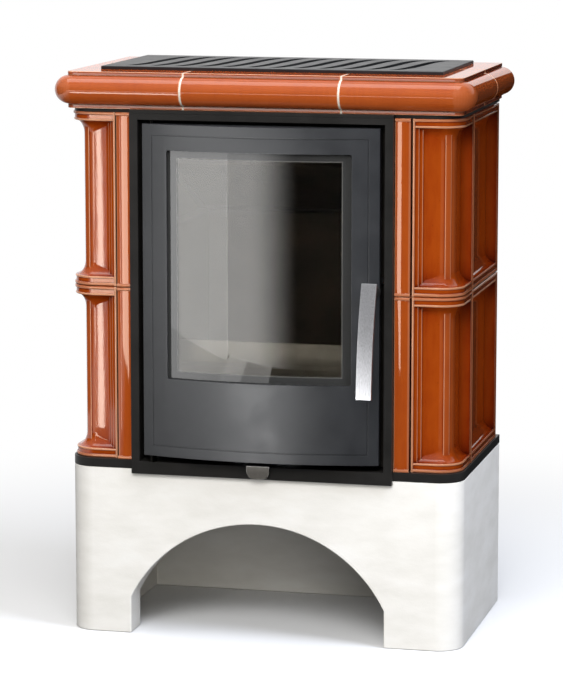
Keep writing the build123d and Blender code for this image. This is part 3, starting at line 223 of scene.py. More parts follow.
# Galvanised sheet, hot dipped: blue-grey spangles as wide as a thumbnail, each catching the light its way.
finish, tree, surface, place = start("zinc_sheet", Metallic=1.0)
spangle = add(tree, "TexVoronoi", {"Vector": place, "Scale": per(14), "Randomness": 1.0})
cell = add(tree, "SeparateColor", {"Color": spangle.outputs["Color"]})
tone = add(tree, "ValToRGB", {"Fac": cell.outputs[0]}, stops=[(0.0, "#a2a6aa"), (1.0, "#c0c4c8")])
tree.links.new(tone.outputs[0], surface.inputs["Base Color"])
dull = add(tree, "MapRange", {"Value": cell.outputs[1], "To Min": 0.34, "To Max": 0.5})
tree.links.new(dull.outputs[0], surface.inputs["Roughness"])
finishes["zinc_sheet"] = finish

# Pressed and fired chamotte: buff with dark and pale specks, smoked grey by the fire.
finish, tree, surface, place = start("firebrick", Roughness=0.95)
smoke = add(tree, "TexNoise", {"Vector": place, "Scale": per(120), "Detail": 4.0, "Roughness": 0.6})
specks = add(tree, "TexVoronoi", {"Vector": place, "Scale": per(4.5)})
grit = add(tree, "TexNoise", {"Vector": place, "Scale": per(2.0), "Detail": 3.0})
tone = add(tree, "ValToRGB", {"Fac": smoke.outputs["Fac"]}, stops=[(0.3, "#26231f"), (0.7, "#443d34")])
speck = add(tree, "MapRange", {"Value": specks.outputs["Distance"], "From Min": 0.12, "From Max": 0.2,
                               "To Min": 0.5, "To Max": 0.0})
brick = add(tree, "Mix", {0: speck.outputs[0], 6: tone.outputs[0], 7: linear("#1f1c18")}, data_type="RGBA")
tree.links.new(brick.outputs[2], surface.inputs["Base Color"])
rough = add(tree, "Bump", {"Height": grit.outputs["Fac"], "Strength": 0.4, "Distance": 0.2 * MM})
tree.links.new(rough.outputs[0], surface.inputs["Normal"])
finishes["firebrick"] = finish

# Glass ceramic, rolled: clear with the faintest grey-amber body, polished flat, and a grey enamel border
# printed round it that shows as a paler band at the top and down the hinge side.
finish, tree, surface, place = start("stove_glass", Roughness=0.01, IOR=1.54, Transmission_Weight=1.0)
roll = add(tree, "TexNoise", {"Vector": place, "Scale": per(140), "Detail": 1.0})
tone = add(tree, "ValToRGB", {"Fac": roll.outputs["Fac"]}, stops=[(0.3, "#d9d5cc"), (0.7, "#e0dcd4")])
low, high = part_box("door_glass")
border_width = 25 * MM
border_softness = 1 * MM
spot = add(tree, "SeparateXYZ", {"Vector": place})
bands = []
for axis, letter in ((0, "X"), (2, "Z")):
    middle = (low[axis] + high[axis]) / 2
    starts = (high[axis] - low[axis]) / 2 - border_width
    off = add(tree, "Math", {0: spot.outputs[letter], 1: middle}, operation="SUBTRACT")
    out = add(tree, "Math", {0: off.outputs[0]}, operation="ABSOLUTE")
    bands.append(add(tree, "MapRange", {"Value": out.outputs[0], "From Min": starts - border_softness,
                                        "From Max": starts + border_softness}))
border = add(tree, "Math", {0: bands[0].outputs[0], 1: bands[1].outputs[0]}, operation="MAXIMUM")
inked = add(tree, "Mix", {0: border.outputs[0], 6: tone.outputs[0], 7: linear("#4a4a49")}, data_type="RGBA")
tree.links.new(inked.outputs[2], surface.inputs["Base Color"])
clear = add(tree, "MapRange", {"Value": border.outputs[0], "To Min": 1.0, "To Max": 0.35})
tree.links.new(clear.outputs[0], surface.inputs["Transmission Weight"])
finishes["stove_glass"] = finish

# Knitted glass-fibre rope, dyed charcoal: soft and matt, with a pale bloom where the fibres stand up. The
# fibres are drawn as tufts of a millimetre, because single ones wouldn't show.
finish, tree, surface, place = start("glass_rope", Roughness=0.95, Sheen_Weight=0.4)
fibre = add(tree, "TexNoise", {"Vector": place, "Scale": per(1.0), "Detail": 4.0, "Roughness": 0.7})
tone = add(tree, "ValToRGB", {"Fac": fibre.outputs["Fac"]}, stops=[(0.3, "#2a2a29"), (0.7, "#565553")])
tree.links.new(tone.outputs[0], surface.inputs["Base Color"])
fuzz = add(tree, "Bump", {"Height": fibre.outputs["Fac"], "Strength": 0.8, "Distance": 0.5 * MM})
tree.links.new(fuzz.outputs[0], surface.inputs["Normal"])
finishes["glass_rope"] = finish

# Brushed stainless bar: fine scratches along its length that draw the light out sideways. They are drawn
# nearly a millimetre apart, because real ones wouldn't show.
finish, tree, surface, place = start("brushed_handle", Metallic=1.0)
lengthways = add(tree, "Mapping", {"Vector": place, "Scale": (1.0, 1.0, 0.018)})
scratches = add(tree, "TexNoise", {"Vector": lengthways.outputs[0], "Scale": per(0.9), "Detail": 4.0,
                                   "Roughness": 0.7})
tone = add(tree, "ValToRGB", {"Fac": scratches.outputs["Fac"]}, stops=[(0.3, "#a6a6a9"), (0.7, "#cacacd")])
tree.links.new(tone.outputs[0], surface.inputs["Base Color"])
dull = add(tree, "MapRange", {"Value": scratches.outputs["Fac"], "From Min": 0.3, "From Max": 0.7,
                              "To Min": 0.26, "To Max": 0.42})
tree.links.new(dull.outputs[0], surface.inputs["Roughness"])
brushed = add(tree, "Bump", {"Height": scratches.outputs["Fac"], "Strength": 0.3, "Distance": 0.06 * MM})
tree.links.new(brushed.outputs[0], surface.inputs["Normal"])
finishes["brushed_handle"] = finish

# Bare steel, worn by thumbs on the tab and by the door on its pins: dark and oiled, bright on rubbed edges.
finish, tree, surface, place = start("worn_steel", Metallic=1.0)
rubbed = add(tree, "Attribute", attribute_name="crest")
marks = add(tree, "TexNoise", {"Vector": place, "Scale": per(7), "Detail": 5.0, "Roughness": 0.7})
tone = add(tree, "ValToRGB", {"Fac": marks.outputs["Fac"]}, stops=[(0.3, "#282623"), (0.7, "#403e3b")])
steel = add(tree, "Mix", {0: rubbed.outputs["Fac"], 6: tone.outputs[0], 7: linear("#b8b6b2")},
            data_type="RGBA")
tree.links.new(steel.outputs[2], surface.inputs["Base Color"])
dull = add(tree, "MapRange", {"Value": marks.outputs["Fac"], "From Min": 0.3, "From Max": 0.7,
                              "To Min": 0.28, "To Max": 0.45})
tree.links.new(dull.outputs[0], surface.inputs["Roughness"])
finishes["worn_steel"] = finish


# ------------------------------------------------------------------ pieces

def only(piece):
    """Makes one object the selected and active one."""
    bpy.ops.object.select_all(action="DESELECT")
    piece.select_set(True)
    bpy.context.view_layer.objects.active = piece


same_point = 0.01 * MM
same_face = math.radians(0.2)
arris_angle = math.radians(28)  # edges that turn more than this are rounded over
smooth_angle = math.radians(32)  # edges that still turn more than this stay crisp
crest_gain = 4.0  # an arris rounded to 4 or 5 mm counts as a full crest


def soften(node, finish, arris, rows=2):
    """A piece in the place of a CAD node, its arrises rounded over and its crests marked for the finish."""
    body = nodes[node]["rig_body"]
    piece = nodes[node].copy()
    piece.data = nodes[node].data.copy()
    piece.name = node + "_piece"
    piece.parent = None
    del piece["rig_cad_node"]
    bpy.context.scene.collection.objects.link(piece)
    only(piece)
    bpy.ops.mesh.customdata_custom_splitnormals_clear()
    bpy.ops.object.mode_set(mode="EDIT")
    bpy.ops.mesh.select_all(action="SELECT")
    bpy.ops.mesh.remove_doubles(threshold=same_point)
    bpy.ops.mesh.dissolve_limited(angle_limit=same_face)
    bpy.ops.mesh.select_all(action="DESELECT")
    bpy.ops.mesh.select_mode(type="EDGE")
    shape = bmesh.from_edit_mesh(piece.data)
    for edge in shape.edges:
        edge.select = edge.is_manifold and edge.calc_face_angle_signed() > arris_angle
    bmesh.update_edit_mesh(piece.data)
    bpy.ops.mesh.bevel(offset=arris * MM, segments=rows, profile=0.6, affect="EDGES", clamp_overlap=False)
    shape = bmesh.from_edit_mesh(piece.data)
    crest = shape.verts.layers.float.new("crest")
    for corner in shape.verts:
        area = sum(face.calc_area() for face in corner.link_faces) / 3
        turn = sum(edge.calc_length() * edge.calc_face_angle_signed(0.0) for edge in corner.link_edges)
        curved = turn / (4 * area) * MM  # per millimetre, averaged over all directions
        corner[crest] = min(max(curved * crest_gain, 0.0), 1.0)
    bmesh.update_edit_mesh(piece.data)
    bpy.ops.object.mode_set(mode="OBJECT")
    bpy.ops.object.shade_smooth_by_angle(angle=smooth_angle)
    bpy.ops.object.modifier_add(type="WEIGHTED_NORMAL")
    weighted = piece.modifiers[-1]
    weighted.keep_sharp = True
    bpy.ops.object.modifier_apply(modifier=weighted.name)
    piece.data.materials.clear()
    piece.data.materials.append(finishes[finish])
    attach(piece, body)
    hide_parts(node)
    return piece


def dress(node, finish):
    """A CAD node whose shape is right keeps it and gets its finish."""
    nodes[node].data.materials.clear()
    nodes[node].data.materials.append(finishes[finish])


sides = ("left", "right")
tiles = [f"{kind}_tile_{row}_{side}"
         for kind in ("corner", "side") for row in ("lower", "upper") for side in sides]
cornice = ["cornice_front"] + [f"cornice_{kind}_{side}" for kind in ("corner", "side") for side in sides]

# Softened pieces: (finish, arris in mm, rows of faces round it, CAD nodes).
for finish, arris, rows, named in (
    ("lime_render", 3.0, 3, ["plinth"]),
    ("black_steel", 0.8, 2, ["base_plate", "top_plate", "handle_rosette"]),
    ("black_steel", 0.6, 2, ["front_frame"]),
    ("black_steel", 0.5, 2, ["flue_collar", "rear_rail"]),
    ("amber_glaze", 1.3, 3, tiles + cornice),
    ("cast_iron", 0.5, 2, ["top_grille"]),
    ("cast_iron", 0.6, 2, ["grate"]),
    ("door_paint", 0.7, 2, ["door_frame"]),
    ("brushed_handle", 0.7, 2, ["handle_bar"]),
    ("worn_steel", 0.6, 2, ["air_lever"]),
    ("firebrick", 1.5, 2, ["firebrick_left", "firebrick_right", "firebrick_back"]),
    ("firebrick", 1.2, 2, ["firebrick_floor", "baffle"]),
    ("guard_steel", 0.6, 2, ["log_guard"]),
    ("zinc_sheet", 0.3, 2, ["ash_pan", "back_panel"]),
    ("zinc_fitting", 0.4, 2, ["latch_keeper", "latch_finger", "glass_retainers"]),
    ("zinc_fitting", 0.5, 2, ["finger_nut"]),
):
    for node in named:
        soften(node, finish, arris, rows)

for finish, named in {
    "grout": ["cornice_joints"],
    "firebox_steel": ["firebox_front", "firebox_shell", "firebox_rails", "baffle_supports", "air_box"],
    "zinc_sheet": ["tile_posts", "air_slide"],
    "zinc_fitting": ["air_guides", "handle_shaft"],
    "worn_steel": ["hinge_pins"],
    "stove_glass": ["door_glass"],
    "bush_brass": ["handle_bush"],
}.items():
    for node in named:
        dress(node, finish)


# ------------------------------------------------------------------ ropes

def start_ply(thickness, orbit):
    """The round end of a ply, beside the cord's core."""
    bpy.ops.mesh.primitive_circle_add(vertices=5, radius=thickness / 2, location=(0, 0, orbit),
                                      rotation=(0, math.pi / 2, 0))


def lay_cord(pitch, plies, hands, ply, orbit, weave, squeeze, steps=16):
    """One turn of cord along X: plies laid round a core, over and under where they go both ways. Its round
    section is squeezed in Y and Z at the end."""
    bpy.ops.object.select_all(action="DESELECT")
    start_ply(ply, orbit)
    cord = bpy.context.object
    bpy.ops.object.transform_apply(location=True, rotation=True, scale=False)
    bpy.ops.object.mode_set(mode="EDIT")
    turn = 2 * math.pi / steps
    for hand in hands:
        if hand != hands[0]:
            start_ply(ply, orbit)
        bpy.ops.transform.translate(value=(0, 0, hand * weave))
        for step in range(1, steps + 1):
            bpy.ops.mesh.extrude_region_move(TRANSFORM_OT_translate={"value": (pitch / steps, 0, 0)})
            bpy.ops.transform.rotate(value=hand * turn, orient_axis="X", center_override=(0, 0, 0))
            rise = hand * weave * (math.cos(plies * turn * step) - math.cos(plies * turn * (step - 1)))
            outwards = (0, rise * math.sin(hand * turn * step), rise * math.cos(turn * step))
            bpy.ops.transform.translate(value=outwards)
        bpy.ops.mesh.select_linked()
        for repeat in range(1, plies):
            bpy.ops.mesh.duplicate_move()
            bpy.ops.transform.rotate(value=2 * math.pi / plies, orient_axis="X", center_override=(0, 0, 0))
    bpy.ops.mesh.select_all(action="SELECT")
    bpy.ops.transform.resize(value=(1.0, *squeeze), center_override=(0, 0, 0))
    bpy.ops.mesh.normals_make_consistent(inside=False)
    bpy.ops.object.mode_set(mode="OBJECT")
    return cord


def run_cord(cord, pitch, path):
    """Repeats one turn of cord and bends it along a path of edges, which is used up."""
    only(path)
    bpy.ops.object.convert(target="CURVE")
    path.data.dimensions = "3D"
    length = path.data.splines[0].calc_length()
    turns = round(length / pitch)
    only(cord)
    bpy.ops.object.modifier_add(type="ARRAY")
    repeat = cord.modifiers[-1]
    repeat.use_relative_offset = False
    repeat.use_constant_offset = True
    repeat.constant_offset_displace = (pitch, 0, 0)
    repeat.count = turns
    repeat.use_merge_vertices = True
    repeat.merge_threshold = 0.05 * MM
    bpy.ops.object.modifier_apply(modifier=repeat.name)
    bpy.ops.object.mode_set(mode="EDIT")
    bpy.ops.mesh.select_all(action="SELECT")
    bpy.ops.transform.resize(value=(length / (turns * pitch), 1, 1), center_override=(0, 0, 0))
    bpy.ops.object.mode_set(mode="OBJECT")
    bpy.ops.object.modifier_add(type="CURVE")
    bend = cord.modifiers[-1]
    bend.object = path
    bpy.ops.object.modifier_apply(modifier=bend.name)
    bpy.ops.object.mode_set(mode="EDIT")
    bpy.ops.mesh.select_all(action="SELECT")
    bpy.ops.mesh.remove_doubles(threshold=0.08 * MM)
    bpy.ops.object.mode_set(mode="OBJECT")
    bpy.data.objects.remove(path)
    bpy.ops.object.shade_smooth()
    return cord


def settle(parts, name, finish, body, node=None):
    """Joins parts to one piece at the origin that rides on a body, in the place of the CAD node it names."""
    bpy.ops.object.select_all(action="DESELECT")
    for part in parts:
        part.select_set(True)
    bpy.context.view_layer.objects.active = parts[0]
    if len(parts) > 1:
        bpy.ops.object.join()
    bpy.ops.object.transform_apply(location=True, rotation=True, scale=True)
    piece = parts[0]
    piece.name = name
    piece.data.materials.clear()
    piece.data.materials.append(finishes[finish])
    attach(piece, body)
    if node:
        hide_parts(node)
    return piece


# The door's rope: eight plies plaited round a core, squeezed to an oval in its channel, in one closed ring.
low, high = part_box("door_seal")
rope_width = 8.0 * MM
rope_corner = 7.0 * MM
plait_pitch = 20 * MM
bpy.ops.object.select_all(action="DESELECT")
bpy.ops.mesh.primitive_plane_add(size=1, location=(low + high) / 2, rotation=(math.pi / 2, 0, 0))
path = bpy.context.object
bpy.ops.transform.resize(value=(high.x - low.x - rope_width, 1, high.z - low.z - rope_width))
bpy.ops.object.transform_apply(location=True, rotation=True, scale=True)
bpy.ops.object.mode_set(mode="EDIT")
bpy.ops.mesh.select_all(action="SELECT")
bpy.ops.mesh.bevel(offset=rope_corner, segments=8, affect="VERTICES")
bpy.ops.mesh.delete(type="ONLY_FACE")
bpy.ops.object.mode_set(mode="OBJECT")
plait = lay_cord(plait_pitch, plies=4, hands=(1, -1), ply=2.4 * MM, orbit=2.45 * MM, weave=0.35 * MM,
                 squeeze=(1.62, 1.0))
settle([run_cord(plait, plait_pitch, path)], "door_rope", "glass_rope", "door", "door_seal")

# The glass's tape: cords of three plies side by side behind the door's skin, straight up the sides and bowed
# with the door along the top and the bottom. Rows are counted in from the tape's outer edge.
low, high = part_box("glass_seal")
tape_thickness = 3.0 * MM
door_bow = 820 * MM
door_skin = 5 * MM
bow = door_bow - door_skin - tape_thickness / 2  # radius of the tape's middle
bow_middle = low.y + tape_thickness / 2 + bow
side_rows = (1.75 * MM, 5.25 * MM)
end_rows = (1.83 * MM, 5.5 * MM, 9.17 * MM)
end_band = 11 * MM
twist_pitch = 12 * MM


def upright_path(x, length):
    """A straight edge up the tape at this place across the door: one side of a plane, moved to its middle."""
    bpy.ops.object.select_all(action="DESELECT")
    where = (x, bow_middle - math.sqrt(bow * bow - x * x), (low.z + high.z) / 2)
    bpy.ops.mesh.primitive_plane_add(size=length, rotation=(math.pi / 2, 0, 0), location=where)
    path = bpy.context.object
    bpy.ops.object.transform_apply(location=True, rotation=True, scale=True)
    bpy.ops.object.mode_set(mode="EDIT")
    bpy.ops.mesh.select_mode(type="VERT")
    bpy.ops.mesh.select_all(action="DESELECT")
    shape = bmesh.from_edit_mesh(path.data)
    for corner in shape.verts:
        corner.select = corner.co.x > x
    bmesh.update_edit_mesh(path.data)
    bpy.ops.mesh.delete(type="VERT")
    bpy.ops.mesh.select_all(action="SELECT")
    bpy.ops.transform.translate(value=(length / 2, 0, 0))
    bpy.ops.object.mode_set(mode="OBJECT")
    return path


def bowed_path(height, half_width):
    """The part of a level circle that follows the door's bow, at this height."""
    bpy.ops.object.select_all(action="DESELECT")
    bpy.ops.mesh.primitive_circle_add(vertices=360, radius=bow, location=(0, bow_middle, height))
    path = bpy.context.object
    bpy.ops.object.transform_apply(location=True, rotation=True, scale=True)
    bpy.ops.object.mode_set(mode="EDIT")
    bpy.ops.mesh.select_mode(type="VERT")
    bpy.ops.mesh.select_all(action="DESELECT")
    shape = bmesh.from_edit_mesh(path.data)
    for corner in shape.verts:
        corner.select = abs(corner.co.x) > half_width or corner.co.y > bow_middle
    bmesh.update_edit_mesh(path.data)
    bpy.ops.mesh.delete(type="VERT")
    bpy.ops.object.mode_set(mode="OBJECT")
    return path


def tape_cord(path, squeeze):
    """A three-ply twisted cord along a path, squeezed between the glass and the door."""
    cord = lay_cord(twist_pitch, plies=3, hands=(1,), ply=1.7 * MM, orbit=0.75 * MM, weave=0.0,
                    squeeze=squeeze, steps=10)
    return run_cord(cord, twist_pitch, path)


cords = []
for inset in side_rows:
    for side in (-1, 1):
        path = upright_path(side * (high.x - inset), high.z - low.z - 2 * end_band)
        cords.append(tape_cord(path, squeeze=(1.05, 0.92)))
for height in [low.z + inset for inset in end_rows] + [high.z - inset for inset in reversed(end_rows)]:
    path = bowed_path(height, high.x - 1.0 * MM)
    cords.append(tape_cord(path, squeeze=(0.92, 1.1)))
settle(cords, "glass_tape", "glass_rope", "door", "glass_seal")


# ------------------------------------------------------------------ screws

def screw_head(radius, height, socket):
    """A pan head facing +Y with a hexagon socket, its underside at the origin."""
    rounding = height * 0.45
    socket_floor = height * 0.45
    bpy.ops.object.select_all(action="DESELECT")
    bpy.ops.mesh.primitive_cylinder_add(vertices=32, radius=radius, depth=height, location=(0, height / 2, 0),
                                        rotation=(math.pi / 2, 0, 0))
    head = bpy.context.object
    bpy.ops.object.transform_apply(location=True, rotation=True, scale=True)
    bpy.ops.mesh.primitive_cylinder_add(vertices=6, radius=socket, depth=height, rotation=(math.pi / 2, 0, 0),
                                        location=(0, socket_floor + height / 2, 0))
    drift = bpy.context.object
    only(head)
    bpy.ops.object.mode_set(mode="EDIT")
    bpy.ops.mesh.select_mode(type="EDGE")
    bpy.ops.mesh.select_all(action="DESELECT")
    shape = bmesh.from_edit_mesh(head.data)
    for edge in shape.edges:
        edge.select = all(corner.co.y > height / 2 for corner in edge.verts)
    bmesh.update_edit_mesh(head.data)
    bpy.ops.mesh.bevel(offset=rounding, segments=4, affect="EDGES")
    bpy.ops.object.mode_set(mode="OBJECT")
    cut_socket(head, drift)
    bpy.ops.object.shade_smooth_by_angle(angle=math.radians(35))
    return head


def cut_socket(screws, drift):
    """Cuts a hexagon socket in the shape of a drift, which is used up."""
    only(screws)
    bpy.ops.object.modifier_add(type="BOOLEAN")
    cut = screws.modifiers[-1]
    cut.operation = "DIFFERENCE"
    cut.object = drift
    bpy.ops.object.modifier_apply(modifier=cut.name)
    bpy.data.objects.remove(drift)


def set_screws(pattern, places):
    """Copies of a screw, each with its own mesh, at their places."""
    screws = []
    for where in places:
        only(pattern)
        bpy.ops.object.duplicate_move(TRANSFORM_OT_translate={"value": where})
        screws.append(bpy.context.object)
    bpy.data.objects.remove(pattern)
    return screws


# The heat shield's screws: three up each side and two between them along the foot.
low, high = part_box("back_panel")
inset = 9 * MM
foot_half = 110 * MM
heights = [low.z + inset, (low.z + high.z) / 2, high.z - inset]
places = [(side * (high.x - inset), high.y, height) for side in (-1, 1) for height in heights]
places += [(side * foot_half, high.y, low.z + inset) for side in (-1, 1)]
panel_screw = screw_head(radius=4.2 * MM, height=2.4 * MM, socket=1.7 * MM)
settle(set_screws(panel_screw, places), "back_panel_screws", "zinc_fitting", "stove")

# The glass clamps' screws: rounded heads with a hexagon socket. One node holds all six, so its points are
# sorted into heads by the cell of a wide grid that they lie in.
clamp_screws = soften("retainer_screws", "zinc_fitting", 0.5)
grid = 60 * MM
socket_radius = 1.9 * MM
socket_depth = 1.6 * MM
heads = {}
for corner in nodes["retainer_screws"].data.vertices:
    cell = (round(corner.co.x / grid), round(corner.co.z / grid))
    heads.setdefault(cell, []).append(corner.co)
for cell in sorted(heads):
    around = heads[cell]
    x, z = ((max(spot[axis] for spot in around) + min(spot[axis] for spot in around)) / 2 for axis in (0, 2))
    bpy.ops.object.select_all(action="DESELECT")
    bpy.ops.mesh.primitive_cylinder_add(vertices=6, radius=socket_radius, depth=2 * socket_depth,
                                        rotation=(math.pi / 2, 0, 0),
                                        location=(x, max(spot.y for spot in around), z))
    cut_socket(clamp_screws, bpy.context.object)


# ------------------------------------------------------------------ studio

# The floor: nearly white by the stove, where it takes the shadow, and pure white to the camera further out.
# It gives back about a third of its light, and in a shine it is black but for a bright stretch far left.
floor_paint, tree, surface, place = start("studio_floor", Roughness=0.9)
surface.inputs["Base Color"].default_value = linear("#f8f8f8")
seen = add(tree, "LightPath")
looked_at = add(tree, "Math", {0: seen.outputs["Is Camera Ray"], 1: seen.outputs["Is Transmission Ray"]},
                operation="MAXIMUM")
flat = add(tree, "Mapping", {"Vector": place, "Scale": (1.0, 1.0, 0.0)})
away = add(tree, "VectorMath", {0: flat.outputs[0]}, operation="LENGTH")
fade = add(tree, "MapRange", {"Value": away.outputs["Value"], "From Min": 0.5, "From Max": 1.7},
           interpolation_type="SMOOTHSTEP")
far = add(tree, "Math", {0: fade.outputs[0], 1: looked_at.outputs[0]}, operation="MULTIPLY")
white = add(tree, "Emission", {"Color": (1.0, 1.0, 1.0, 1.0), "Strength": 1.0})
bounced = add(tree, "Math", {0: seen.outputs["Is Diffuse Ray"], 1: 0.65}, operation="MULTIPLY")
dark = add(tree, "Emission", {"Strength": 0.0})
dimmed = add(tree, "MixShader", {0: bounced.outputs[0], 1: surface.outputs[0], 2: dark.outputs[0]})
blended = add(tree, "MixShader", {0: far.outputs[0], 1: dimmed.outputs[0], 2: white.outputs[0]})
across = add(tree, "SeparateXYZ", {"Vector": place})
left = add(tree, "MapRange", {"Value": across.outputs["X"], "From Min": -1.0, "From Max": -1.6})
bright = add(tree, "Math", {0: left.outputs[0], 1: fade.outputs[0]}, operation="MULTIPLY")
mirrored = add(tree, "Emission", {"Color": (1.0, 1.0, 1.0, 1.0), "Strength": bright.outputs[0]})
shown = add(tree, "MixShader", {0: seen.outputs["Is Glossy Ray"], 1: blended.outputs[0],
                                2: mirrored.outputs[0]})
tree.links.new(shown.outputs[0], tree.nodes["Material Output"].inputs["Surface"])

bpy.ops.object.select_all(action="DESELECT")
bpy.ops.mesh.primitive_circle_add(vertices=96, radius=60.0, fill_type="NGON", location=(0, 0, 0))
floor = bpy.context.object
floor.name = "studio_floor"
floor.data.materials.append(floor_paint)

# The room: white to the camera and through the glass, and white behind the stove in a shine. Otherwise it is
# dark below and has a grey ceiling that is darker to the right.
world = bpy.data.worlds.new("studio")
bpy.context.scene.world = world
world.use_nodes = True
tree = world.node_tree
sky = tree.nodes["Background"]
seen = add(tree, "LightPath")
looked_at = add(tree, "Math", {0: seen.outputs["Is Camera Ray"], 1: seen.outputs["Is Transmission Ray"]},
                operation="MAXIMUM")
axes = add(tree, "SeparateXYZ", {"Vector": add(tree, "TexCoord").outputs["Generated"]})
behind = add(tree, "MapRange", {"Value": axes.outputs["Y"], "From Min": 0.0, "From Max": 0.5})
above = add(tree, "MapRange", {"Value": axes.outputs["Z"], "From Min": 0.1, "From Max": 0.8,
                               "To Min": 0.08, "To Max": 0.55})
mirrored = add(tree, "Math", {0: behind.outputs[0], 1: seen.outputs["Is Glossy Ray"]}, operation="MULTIPLY")
rightward = add(tree, "MapRange", {"Value": axes.outputs["X"], "From Min": 0.0, "From Max": 0.8,
                                   "To Min": 1.0, "To Max": 0.25})
ceiling = add(tree, "Math", {0: above.outputs[0], 1: rightward.outputs[0]}, operation="MULTIPLY")
brightest = add(tree, "Math", {0: mirrored.outputs[0], 1: ceiling.outputs[0]}, operation="MAXIMUM")
level = add(tree, "Math", {0: brightest.outputs[0], 1: looked_at.outputs[0]}, operation="MAXIMUM")
tree.links.new(level.outputs[0], sky.inputs["Color"])
sky.inputs["Strength"].default_value = 1.0

# What a lamp or the curtain reaches: the tiles, the cornice, both, all that isn't glazed, the plinth, or only
# what moves.
reached = ("tiles", "cornice", "glazed", "unglazed", "plinth", "moving")
groups = {name: bpy.data.collections.new(name) for name in reached}
for piece in [shape for shape in bpy.data.objects if shape.type == "MESH"]:
    if finishes["amber_glaze"].name in piece.data.materials:
        groups["tiles" if "tile" in piece.name else "cornice"].objects.link(piece)
        groups["glazed"].objects.link(piece)
    else:
        groups["unglazed"].objects.link(piece)
    if finishes["lime_render"].name in piece.data.materials:
        groups["plinth"].objects.link(piece)
    if piece.get("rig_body", "stove") != "stove":
        groups["moving"].objects.link(piece)


def hang_lamp(name, where, facing, size, radiance, tint, reaches, shines, lights):
    """A soft lamp that doesn't show itself. It gives a shine, light or both to what it reaches, or to all."""
    width, height = size
    lamp = bpy.data.lights.new(name, "AREA")
    lamp.shape = "RECTANGLE"
    lamp.size = width
    lamp.size_y = height
    lamp.energy = radiance * math.pi * width * height
    lamp.color = linear(tint)[:3]
    hung = bpy.data.objects.new(name, lamp)
    hung.location = where
    hung.rotation_mode = "QUATERNION"
    hung.rotation_quaternion = facing.to_track_quat("-Z", "Y")
    hung.visible_camera = False
    hung.visible_glossy = shines
    hung.visible_diffuse = lights
    if reaches:
        hung.light_linking.receiver_collection = groups[reaches]
    bpy.context.scene.collection.objects.link(hung)


# Lamps that only shine. The door, the handle and the tab mirror the window, the bright floor under it and a
# spot on the floor. The tiles and the cornice mirror single panes instead, and two strips that stand close in
# front, so that their edges stay crisp in the glaze. Lamps in a shine add up where one is behind another, so
# the stretches of floor lie side by side.
window_shine = 3.4
ahead = Vector((0.0, 1.0, 0.0))
upward = Vector((0.0, 0.0, 1.0))
for name, where, facing, size, radiance, tint, reaches in (
    ("window", (-1.825, -3.0, 1.052), ahead, (1.25, 2.1), window_shine, "#ffffff", "moving"),
    ("window_floor", (-2.0, -2.655, 0.002), upward, (1.6, 0.69), window_shine - 1.0, "#ffffff", "moving"),
    ("curtain_floor", (-1.05, -2.7, 0.002), upward, (0.3, 0.8), window_shine - 0.3, "#ffffff", "moving"),
    ("curtain_end", (-0.7, -2.7, 0.002), upward, (0.4, 0.8), 1.7, "#ffffff", "moving"),
    ("floor_spot", (-0.42, -2.05, 0.002), upward, (0.4, 0.6), 46.0, "#ffffff", "moving"),
    ("pane_left", (-2.8, -3.0, 0.4), ahead, (0.3, 0.8), 1.0, "#fff2e6", "glazed"),
    ("pane_right", (-1.05, -3.0, 0.4), ahead, (1.35, 0.8), 7.5, "#ffe6d0", "tiles"),
    ("pane_high", (-0.75, -3.0, 0.72), ahead, (1.35, 0.2), 3.4, "#fff6ee", "cornice"),
    ("tile_strip", (-0.603, -0.7, 0.555), ahead, (0.0115, 0.61), 11.5, "#ffeddc", "tiles"),
    ("cornice_strip", (-0.394, -0.7, 0.79), ahead, (0.212, 0.1), 8.0, "#fff2e8", "cornice"),
):
    hang_lamp(name, where, facing, size, radiance, tint, reaches, shines=True, lights=False)

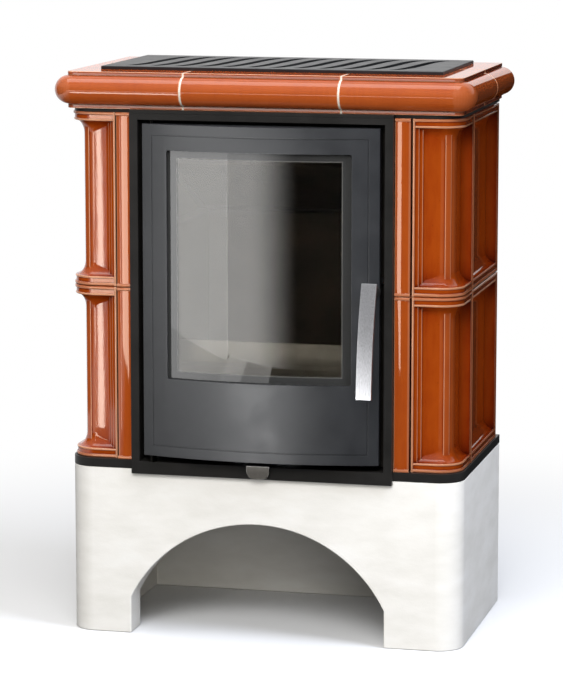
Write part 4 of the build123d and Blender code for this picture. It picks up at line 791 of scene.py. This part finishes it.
# Lamps that light: broad and soft from the front and above, a fill for the plinth, and a cool bank high at
# the right that doesn't reach the glaze. The last two shine as well.
for name, where, aim, size, radiance, tint, reaches, shines in (
    ("sky_light", (0.2, -3.0, 2.2), (0.0, 0.0, 0.6), (1.2, 1.2), 8.8, "#ffffff", None, False),
    ("front_bank", (0.6, -3.2, 3.1), (0.0, 0.0, 0.6), (2.6, 1.3), 5.3, "#ffffff", None, False),
    ("plinth_fill", (1.0, -3.0, 1.2), (0.0, 0.0, 0.15), (1.0, 1.0), 6.4, "#fffdf6", "plinth", False),
    ("top_bank", (-0.4, -0.4, 3.4), (-0.4, 0.0, 0.6), (3.0, 1.6), 2.3, "#ffffff", None, True),
    ("right_bank", (2.6, -1.0, 2.9), (0.0, 0.0, 0.6), (1.4, 1.2), 16.5, "#e6eeff", "unglazed", True),
):
    hang_lamp(name, where, Vector(aim) - Vector(where), size, radiance, tint, reaches, shines, lights=True)

# Boards that only a shine sees: black ones keep the bright room out of the gloss at the sides and in front,
# and beside the window a net curtain fades from bright to nothing. The door glass mirrors the curtain in both
# its faces, so it is seen through glass as well.
black_board, tree, surface, place = start("black_board", Roughness=0.9)
surface.inputs["Base Color"].default_value = linear("#101010")
net_curtain, tree, surface, place = start("net_curtain", Roughness=0.9)
across = add(tree, "SeparateXYZ", {"Vector": place})
glow = add(tree, "MapRange", {"Value": across.outputs["X"], "From Min": -0.9, "From Max": -0.1,
                              "To Min": window_shine, "To Max": 0.0}, interpolation_type="SMOOTHSTEP")
light = add(tree, "Emission", {"Strength": glow.outputs[0]})
tree.links.new(light.outputs[0], tree.nodes["Material Output"].inputs["Surface"])
above_floor = 0.001
for name, paint, left, right, top in (
    ("board_behind", black_board, (0.46, 1.0), (2.2, 1.0), 1.6),
    ("board_right", black_board, (2.2, 1.0), (2.2, -3.1), 1.4),
    ("board_front", black_board, (2.2, -3.1), (-0.1, -3.1), 0.95),
    ("board_left", black_board, (-2.45, -2.9), (-2.45, 0.7), 1.4),
    ("curtain", net_curtain, (-0.1, -3.1), (-1.25, -3.1), 0.95),
):
    bpy.ops.object.select_all(action="DESELECT")
    bpy.ops.mesh.primitive_plane_add(size=1.0)
    board = bpy.context.object
    board.name = name
    corners = [(*left, above_floor), (*right, above_floor), (*left, top), (*right, top)]
    for corner, where in zip(board.data.vertices, corners):
        corner.co = where
    board.data.materials.append(paint)
    board.visible_camera = False
    board.visible_diffuse = False
    board.visible_shadow = False
    if paint is black_board:
        board.visible_transmission = False
    else:
        board.light_linking.receiver_collection = groups["moving"]
